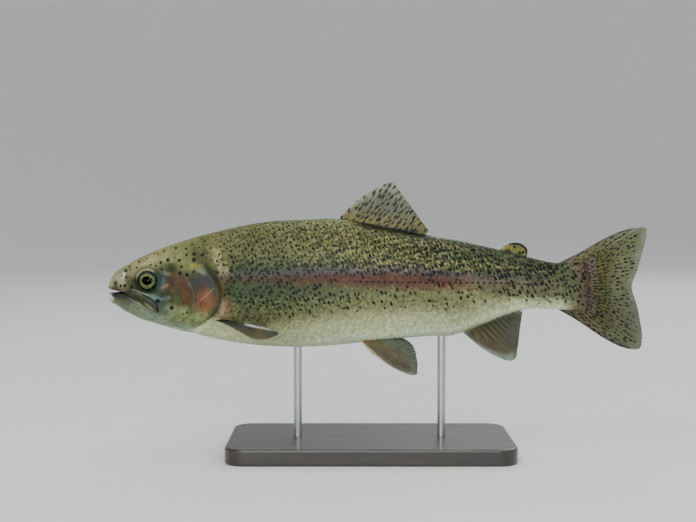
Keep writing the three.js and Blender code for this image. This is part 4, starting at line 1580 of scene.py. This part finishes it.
def tail_tint(p):
    inner = span(p.u, 0.11, 0.17, 0.83, 0.89)
    tint = mix(tone_of("3b3d1c"), tone_of("4c5135"), ease(0.3, 0.75, p.v))
    tint = mix(tint, tone_of("5f655a"), 0.75 * ease(0.84, 0.97, p.v))
    tint = mix(tint, tone_of("313205"), 0.9 * inner * ease(379, 366, p.x))
    tint = mix(tint, tone_of(MAUVE), 0.95 * inner * ease(363.5, 361, p.x))
    tint = mix(tint, tone_of("4a4428"), 0.7 * (1 - inner) * ease(378, 362, p.x))
    tint = mix(tint, tone_of("25242a"), 0.85 * ease(2.6, 1.6, outer_edge(p)))
    return tint * mix(0.8, 1.28, ease(0.72, 0.25, p.u))[:, None]


def anal_tint(p):
    tint = mix(tone_of("292a1a"), tone_of("303528"), ease(0.4, 0.95, p.v))
    tint = mix(tint, tone_of("3e311a"), 0.85 * ease(0.5, 0.1, p.u) * ease(0.05, 0.4, p.v))
    tint = mix(tint, tone_of("676d53"), 0.6 * ease(7, 3, p.foot))
    tip = ease(0.42, 0.25, p.u) * ease(0.78, 0.97, p.v)
    return mix(tint, tone_of("717f78"), 0.95 * tip)


def adipose_tint(p):
    tint = mix(tone_of("30351c"), tone_of("63611f"), ease(0.3, 0.5, p.v))
    return mix(tint, tone_of("8a8a58"), 0.5 * ease(0.3, 0.1, p.u) * ease(0.6, 0.9, p.v))


def pelvic_tint(p):
    tint = mix(tone_of("443c22"), tone_of("363e30"), ease(0.6, 0.98, p.v))
    tint = mix(tint, tone_of("37453d"), ease(0.5, 0.85, p.u))
    tint = mix(tint, tone_of("5e5233"), 0.7 * ease(0.45, 0.1, p.v))
    tint = mix(tint, tone_of("272416"), 0.75 * bell(p.u - 0.22, 0.13) * ease(0.1, 0.35, p.v))
    edge = ease(0.11, 0.04, p.u) + 0.6 * ease(0.3, 0.2, p.u) * ease(0.9, 1, p.v)
    return mix(tint, tone_of("9a9172"), 0.9 * np.clip(edge, 0, 1))


def pectoral_tint(p):
    tint = mix(tone_of("3c361d"), tone_of("504620"), ease(20, 34, p.x) * ease(0.1, 0.7, p.v))
    tint = mix(tint, tone_of("33372a"), ease(38, 50, p.x))
    low = ease(0.25, 0.5, p.u)
    tint = mix(tone_of("171d13"), tint, np.maximum(low, ease(30, 36, p.x)))
    return mix(tint, tone_of("b9c0b8"), 0.9 * ease(0.2, 0.1, p.u) * span(p.x, 25, 29, 44, 54))


def dorsal_spots(p):
    return 0.96 * span(p.v, 0.02, 0.1, 0.95, 1.02)


def tail_spots(p):
    return 0.95 * ease(9, 16, p.reach) * ease(0.94, 0.82, p.v)


def no_spots(p):
    return 0 * p.u


def anal_spots(p):
    return 0.12 * span(p.v, 0.15, 0.3, 0.6, 0.8)


def pectoral_spots(p):
    return 0.6 * ease(0.35, 0.2, p.u) * ease(26, 20, p.x)


def fin_ink_and_shade(name, p, places):
    """0.5 at the edge of the dark marks of a fin and of the painted shadow at the dorsal fin's foot, higher
    inside them.
    """
    field = np.full(len(p.u), -9.0)
    if name == "adipose_fin":
        spots = [(301.1, 28.2, 1.2), (305, 23.6, 1.5), (307.4, 24.2, 1.2), (296, 24.5, 2.2)]
        x, z = places[:, 0], places[:, 2]
        field = np.max([r - np.hypot(x - a, z - b) for a, b, r in spots], axis=0)
        rim = 9 * (p.v - 0.87) * ease(0.22, 0.36, p.u) - 5 * ease(0.36, 0.22, p.u)
        field = np.maximum(field, rim)
    if name == "tail_fin":
        field = np.maximum(field, 0.8 - outer_edge(p))
    if name == "dorsal_fin":
        field = np.maximum(field, 40 * (0.012 - p.u))
        # Painted shadow: a dark band along the dorsal fin's foot, where it rises from the back.
        within = span(p.u, 0.1, 0.3, 0.85, 0.97)
        foot = (6 - p.foot) * within
        field = np.maximum(field, foot - 4 * (1 - within))
    return np.clip(0.5 + field / 3, 0, 1)


# fin, tint, spot density, then in mm: column width, row length, half width and half length of a spot
FIN_LOOKS = {
    "dorsal_fin": (DORSAL, dorsal_tint, dorsal_spots, 3.1, 4.3, 0.84, 1.7),
    "tail_fin": (TAIL, tail_tint, tail_spots, 2.6, 3.9, 0.58, 1.25),
    "anal_fin": (ANAL, anal_tint, anal_spots, 4, 6, 0.6, 1.0),
    "adipose_fin": (ADIPOSE, adipose_tint, no_spots, 4, 4, 1, 1),
    "pelvic_fin": (PELVIC, pelvic_tint, no_spots, 4, 6, 1, 1),
    "pectoral_fin": (PECTORAL, pectoral_tint, pectoral_spots, 2.2, 3.4, 0.6, 1.0),
}


def fin_marks(f, fan, grain, row, wide, tall):
    """Long dark spots that lie along the rays, as wide and long everywhere on the fin."""
    cells, chance, size = f.cells(fan, 1.0, 0.62)
    present = f.math("LESS_THAN", chance, f.number("spotting"))
    away = f.node("ShaderNodeVectorMath", {0: fan, 1: cells["Position"]}, operation="SUBTRACT")
    parts = f.node("ShaderNodeSeparateXYZ", {0: away.outputs[0]})
    across = f.math("DIVIDE", f.times(parts.outputs[0], f.number("spread")), wide)
    ahead = f.times(parts.outputs[1], row / tall)
    far = f.math("SQRT", f.plus(f.math("POWER", across, 2.0), f.math("POWER", ahead, 2.0)))
    far = f.plus(far, f.ramp(grain, 0.2, 0.8, -0.22, 0.22))
    return f.times(present, f.ramp(f.minus(far, f.ramp(size, 0, 1, 0.7, 1.25)), 0.16, -0.16))


def fin_finish(name, row, wide, tall, streaks):
    """A fin's web and rays: tinted, spotted between the rays, paler and clearer at the rim."""
    f = Finish(name)
    colours = bpy.context.scene.trout_colours
    fan = f.uv("Rays")
    where = f.where()
    ray = f.number("ray")
    cloud = f.noise(where, 140, 3, 0.6)
    grain = f.noise(where, 700, 2, 0.6)
    value = f.times(f.ramp(cloud, 0.25, 0.75, 0.8, 1.2), f.ramp(grain, 0.2, 0.8, 0.85, 1.12))
    base = f.shaded(f.colour("tint"), value)
    base = f.mixed(f.times(ray, 0.16), base, srgb("9b9a77"))
    dash = f.noise(f.stretched(fan, (2.6, 0.16 * row, 1)), 1.0, 2, 0.5)
    dark = f.times(f.ramp(dash, 0.5, 0.68), streaks)
    web = f.minus(1.0, f.times(ray, 0.6))
    base = f.mixed(f.times(dark, web), base, srgb("2c2a1e"))
    marks = fin_marks(f, fan, grain, row, wide, tall)
    # Dark marks, with the painted shadow at the dorsal fin's foot.
    marks = f.larger(marks, f.ramp(f.number("ink"), 0.44, 0.58))
    base = f.mixed(f.times(marks, 0.96), base, tuple(colours.ink))
    f.set(Base_Color=base)
    f.set(Alpha=f.ramp(f.larger(ray, marks, f.number("dense")), 0.0, 1.0, 0.8, 1.0))
    f.set(Roughness=f.ramp(grain, 0.2, 0.8, 0.3, 0.45))
    f.set(Coat_Weight=0.04, Coat_Roughness=0.22, Specular_IOR_Level=0.16)
    f.bump(grain, 0.00012, 0.5)
    return f.material


class TROUT_OT_fins(bpy.types.Operator):
    """The eight fins, with their rays and spots"""

    bl_idname = "trout.fins"
    bl_label = "Fins"

    def execute(self, context):
        size = context.scene.trout_fins
        for name, (fin, tint, spots, column, row, wide, tall) in FIN_LOOKS.items():
            streaks = 0.75 if name in ("anal_fin", "pelvic_fin", "pectoral_fin") else 0.3
            finish = fin_finish(f"trout_{name}", row, wide, tall, streaks)
            paired = name in ("pelvic_fin", "pectoral_fin")
            for suffix, side in SIDES.items() if paired else [("", 0)]:
                mesh, p = fin.build(size)
                places = self.seat(name, side, read_places(mesh))
                write_places(mesh, place(*places.T))
                turn_faces_out(mesh)
                paint_colours(mesh, "tint", tint(p))
                paint_numbers(mesh, "ink", fin_ink_and_shade(name, p, places))
                paint_numbers(mesh, "spotting", spots(p))
                paint_numbers(mesh, "spread", p.spread * column)
                fleshy = float(name == "adipose_fin")
                paint_numbers(mesh, "ray", p.ray * ease(3, 12, p.foot) * (1 - fleshy))
                paint_numbers(mesh, "dense", np.maximum(ease(0.75, 0.3, p.v), fleshy))
                vertex, _ = corners(mesh)
                write_map(mesh, "Rays", (p.even / column)[vertex], (p.foot / row)[vertex])
                full = f"{name}_{suffix}" if paired else name
                finish_piece(f"{full}_web", mesh, finish, [full])
        return {"FINISHED"}

    def seat(self, name, side, places):
        """Turns a paired fin from its own plane to its place on the body."""
        if name == "pelvic_fin":
            x, y, z = PELVIC_ROOT
            flat = places - np.array([x, 0, z])
            return turned(flat, ("X", side * PELVIC_SPLAY)) + np.array([x, side * y, z])
        if name == "pectoral_fin":
            x, y, z = PECTORAL_ROOT
            turns = [("X", -side * PECTORAL_TWIST), ("Y", PECTORAL_DROP), ("Z", side * PECTORAL_SWEEP)]
            return turned(places, *turns) + np.array([x, side * y, z])
        return places


# ---- The stand ----
class TROUT_OT_stand(bpy.types.Operator):
    """Dark lacquered wood for the base and brushed steel for the rods"""

    bl_idname = "trout.stand"
    bl_label = "Stand"

    def execute(self, context):
        wood = self.wood()
        steel = self.steel()
        finishes = {"stand_base": wood, "stand_rod_front": steel, "stand_rod_rear": steel}
        for name, finish in finishes.items():
            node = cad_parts[name]
            for slot in node.material_slots:
                slot.material = finish
            if not node.material_slots:
                raise RuntimeError(f"{name} has no material slot")
        return {"FINISHED"}

    def wood(self):
        f = Finish("stand_lacquered_wood")
        where = f.where()
        grain = f.noise(f.stretched(where, (1.6, 26, 26)), 6, 6, 0.62)
        pores = f.noise(f.stretched(where, (8, 190, 190)), 5, 3, 0.7)
        tone = f.mixed(f.ramp(grain, 0.35, 0.7), srgb("1c1714"), srgb("30261f"))
        tone = f.mixed(f.ramp(pores, 0.55, 0.75, 0, 0.6), tone, srgb("0f0c0a"))
        f.set(Base_Color=tone, Roughness=f.ramp(pores, 0.3, 0.7, 0.32, 0.44))
        f.set(Coat_Weight=0.4, Coat_Roughness=0.18)
        f.bump(pores, 0.00008, 0.4)
        return f.material

    def steel(self):
        f = Finish("stand_brushed_steel")
        brush = f.noise(f.stretched(f.where(), (700, 700, 24)), 3, 3, 0.6)
        f.set(Base_Color=f.mixed(brush, srgb("9a9c9e"), srgb("c3c5c6")))
        f.set(Metallic=1.0, Roughness=f.ramp(brush, 0.3, 0.7, 0.28, 0.42))
        f.bump(brush, 0.00004, 0.35)
        return f.material


# ---- The studio ----
class TROUT_OT_stage(bpy.types.Operator):
    """A pale floor that curves up all round, soft lamps and the camera"""

    bl_idname = "trout.stage"
    bl_label = "Studio"

    def execute(self, context):
        self.floor(context)
        self.lamps(context)
        self.camera(context)
        return {"FINISHED"}

    def floor(self, context):
        arc = [(2.4 + 1.4 * math.sin(a), 1.4 - 1.4 * math.cos(a)) for a in np.linspace(0, math.pi / 2, 20)]
        mesh = spun([(0, 0), (0.6, 0), (1.6, 0), *arc, (3.8, 3.2)], 96, "studio_floor")
        if sum(face.normal.z for face in mesh.polygons) < 0:
            mesh.flip_normals()
        f = Finish("studio_floor")
        where = f.where()
        soft = f.noise(where, 3, 2, 0.5)
        pale = tuple(context.scene.trout_stage.floor)
        dim = tuple(c * 0.94 for c in pale)
        f.set(Base_Color=f.mixed(soft, dim, pale), Roughness=0.75)
        mesh.materials.append(f.material)
        mesh.polygons.foreach_set("use_smooth", np.full(len(mesh.polygons), True))
        floor = bpy.data.objects.new("studio_floor", mesh)
        context.scene.collection.objects.link(floor)

    def lamps(self, context):
        world = bpy.data.worlds.new("studio")
        context.scene.world = world
        world.use_nodes = True
        sky = world.node_tree.nodes["Background"]
        sky.inputs["Color"].default_value = (0.93, 0.97, 1.0, 1)
        sky.inputs["Strength"].default_value = 0.36
        target = Vector((0, 0, 0.12))
        lamps = {
            "key": ((-0.8, -1.3, 2.1), 1.5, 24, (1.0, 0.97, 0.92)),
            "fill": ((1.6, -1.4, 1.1), 1.6, 7, (0.94, 0.98, 1.0)),
            "low": ((-0.1, -1.5, 0.5), 0.9, 17, (0.97, 0.99, 1.0)),
            "top": ((0.1, 0.2, 2.2), 1.6, 18, (1.0, 1.0, 1.0)),
            "back": ((0.6, 1.7, 1.5), 1.3, 14, (0.96, 0.98, 1.0)),
        }
        for name, (where, size, power, colour) in lamps.items():
            data = bpy.data.lights.new(name, "AREA")
            data.shape = "SQUARE"
            data.size = size
            data.energy = power
            data.color = colour
            lamp = bpy.data.objects.new(name, data)
            lamp.location = where
            lamp.rotation_euler = (target - Vector(where)).to_track_quat("-Z", "Y").to_euler()
            context.scene.collection.objects.link(lamp)

    def camera(self, context):
        stage = context.scene.trout_stage
        data = bpy.data.cameras.new("camera")
        data.sensor_width = 36
        data.lens = 36 * stage.distance / stage.frame_width
        camera = bpy.data.objects.new("camera", data)
        aim = Vector((-0.0226, 0, 0.1428))
        back = Vector((0, -math.cos(stage.elevation), math.sin(stage.elevation)))
        camera.location = aim + back * stage.distance
        camera.rotation_euler = (-back).to_track_quat("-Z", "Y").to_euler()
        context.scene.collection.objects.link(camera)
        context.scene.camera = camera


class TROUT_PT_panel(bpy.types.Panel):
    """Lists the parts of the model"""

    bl_idname = "TROUT_PT_panel"
    bl_label = "Rainbow trout"
    bl_space_type = "VIEW_3D"
    bl_region_type = "UI"
    bl_category = "Trout"

    def draw(self, context):
        for operator in OPERATORS:
            self.layout.operator(operator.bl_idname)
        for name, group in SETTINGS.items():
            box = self.layout.box()
            for field in group.__annotations__:
                box.prop(getattr(context.scene, name), field)


OPERATORS = [TROUT_OT_skin, TROUT_OT_scales, TROUT_OT_eyes, TROUT_OT_fins, TROUT_OT_stand, TROUT_OT_stage]


def register():
    for group in SETTINGS.values():
        bpy.utils.register_class(group)
    for name, group in SETTINGS.items():
        setattr(bpy.types.Scene, name, PointerProperty(type=group))
    for operator in OPERATORS:
        bpy.utils.register_class(operator)
    bpy.utils.register_class(TROUT_PT_panel)


def unregister():
    bpy.utils.unregister_class(TROUT_PT_panel)
    for operator in reversed(OPERATORS):
        bpy.utils.unregister_class(operator)
    for name in SETTINGS:
        delattr(bpy.types.Scene, name)
    for group in reversed(list(SETTINGS.values())):
        bpy.utils.unregister_class(group)


def main():
    register()
    bpy.ops.trout.skin()
    bpy.ops.trout.scales()
    bpy.ops.trout.eyes()
    bpy.ops.trout.fins()
    bpy.ops.trout.stand()
    bpy.ops.trout.stage()


if __name__ == "__main__":
    main()
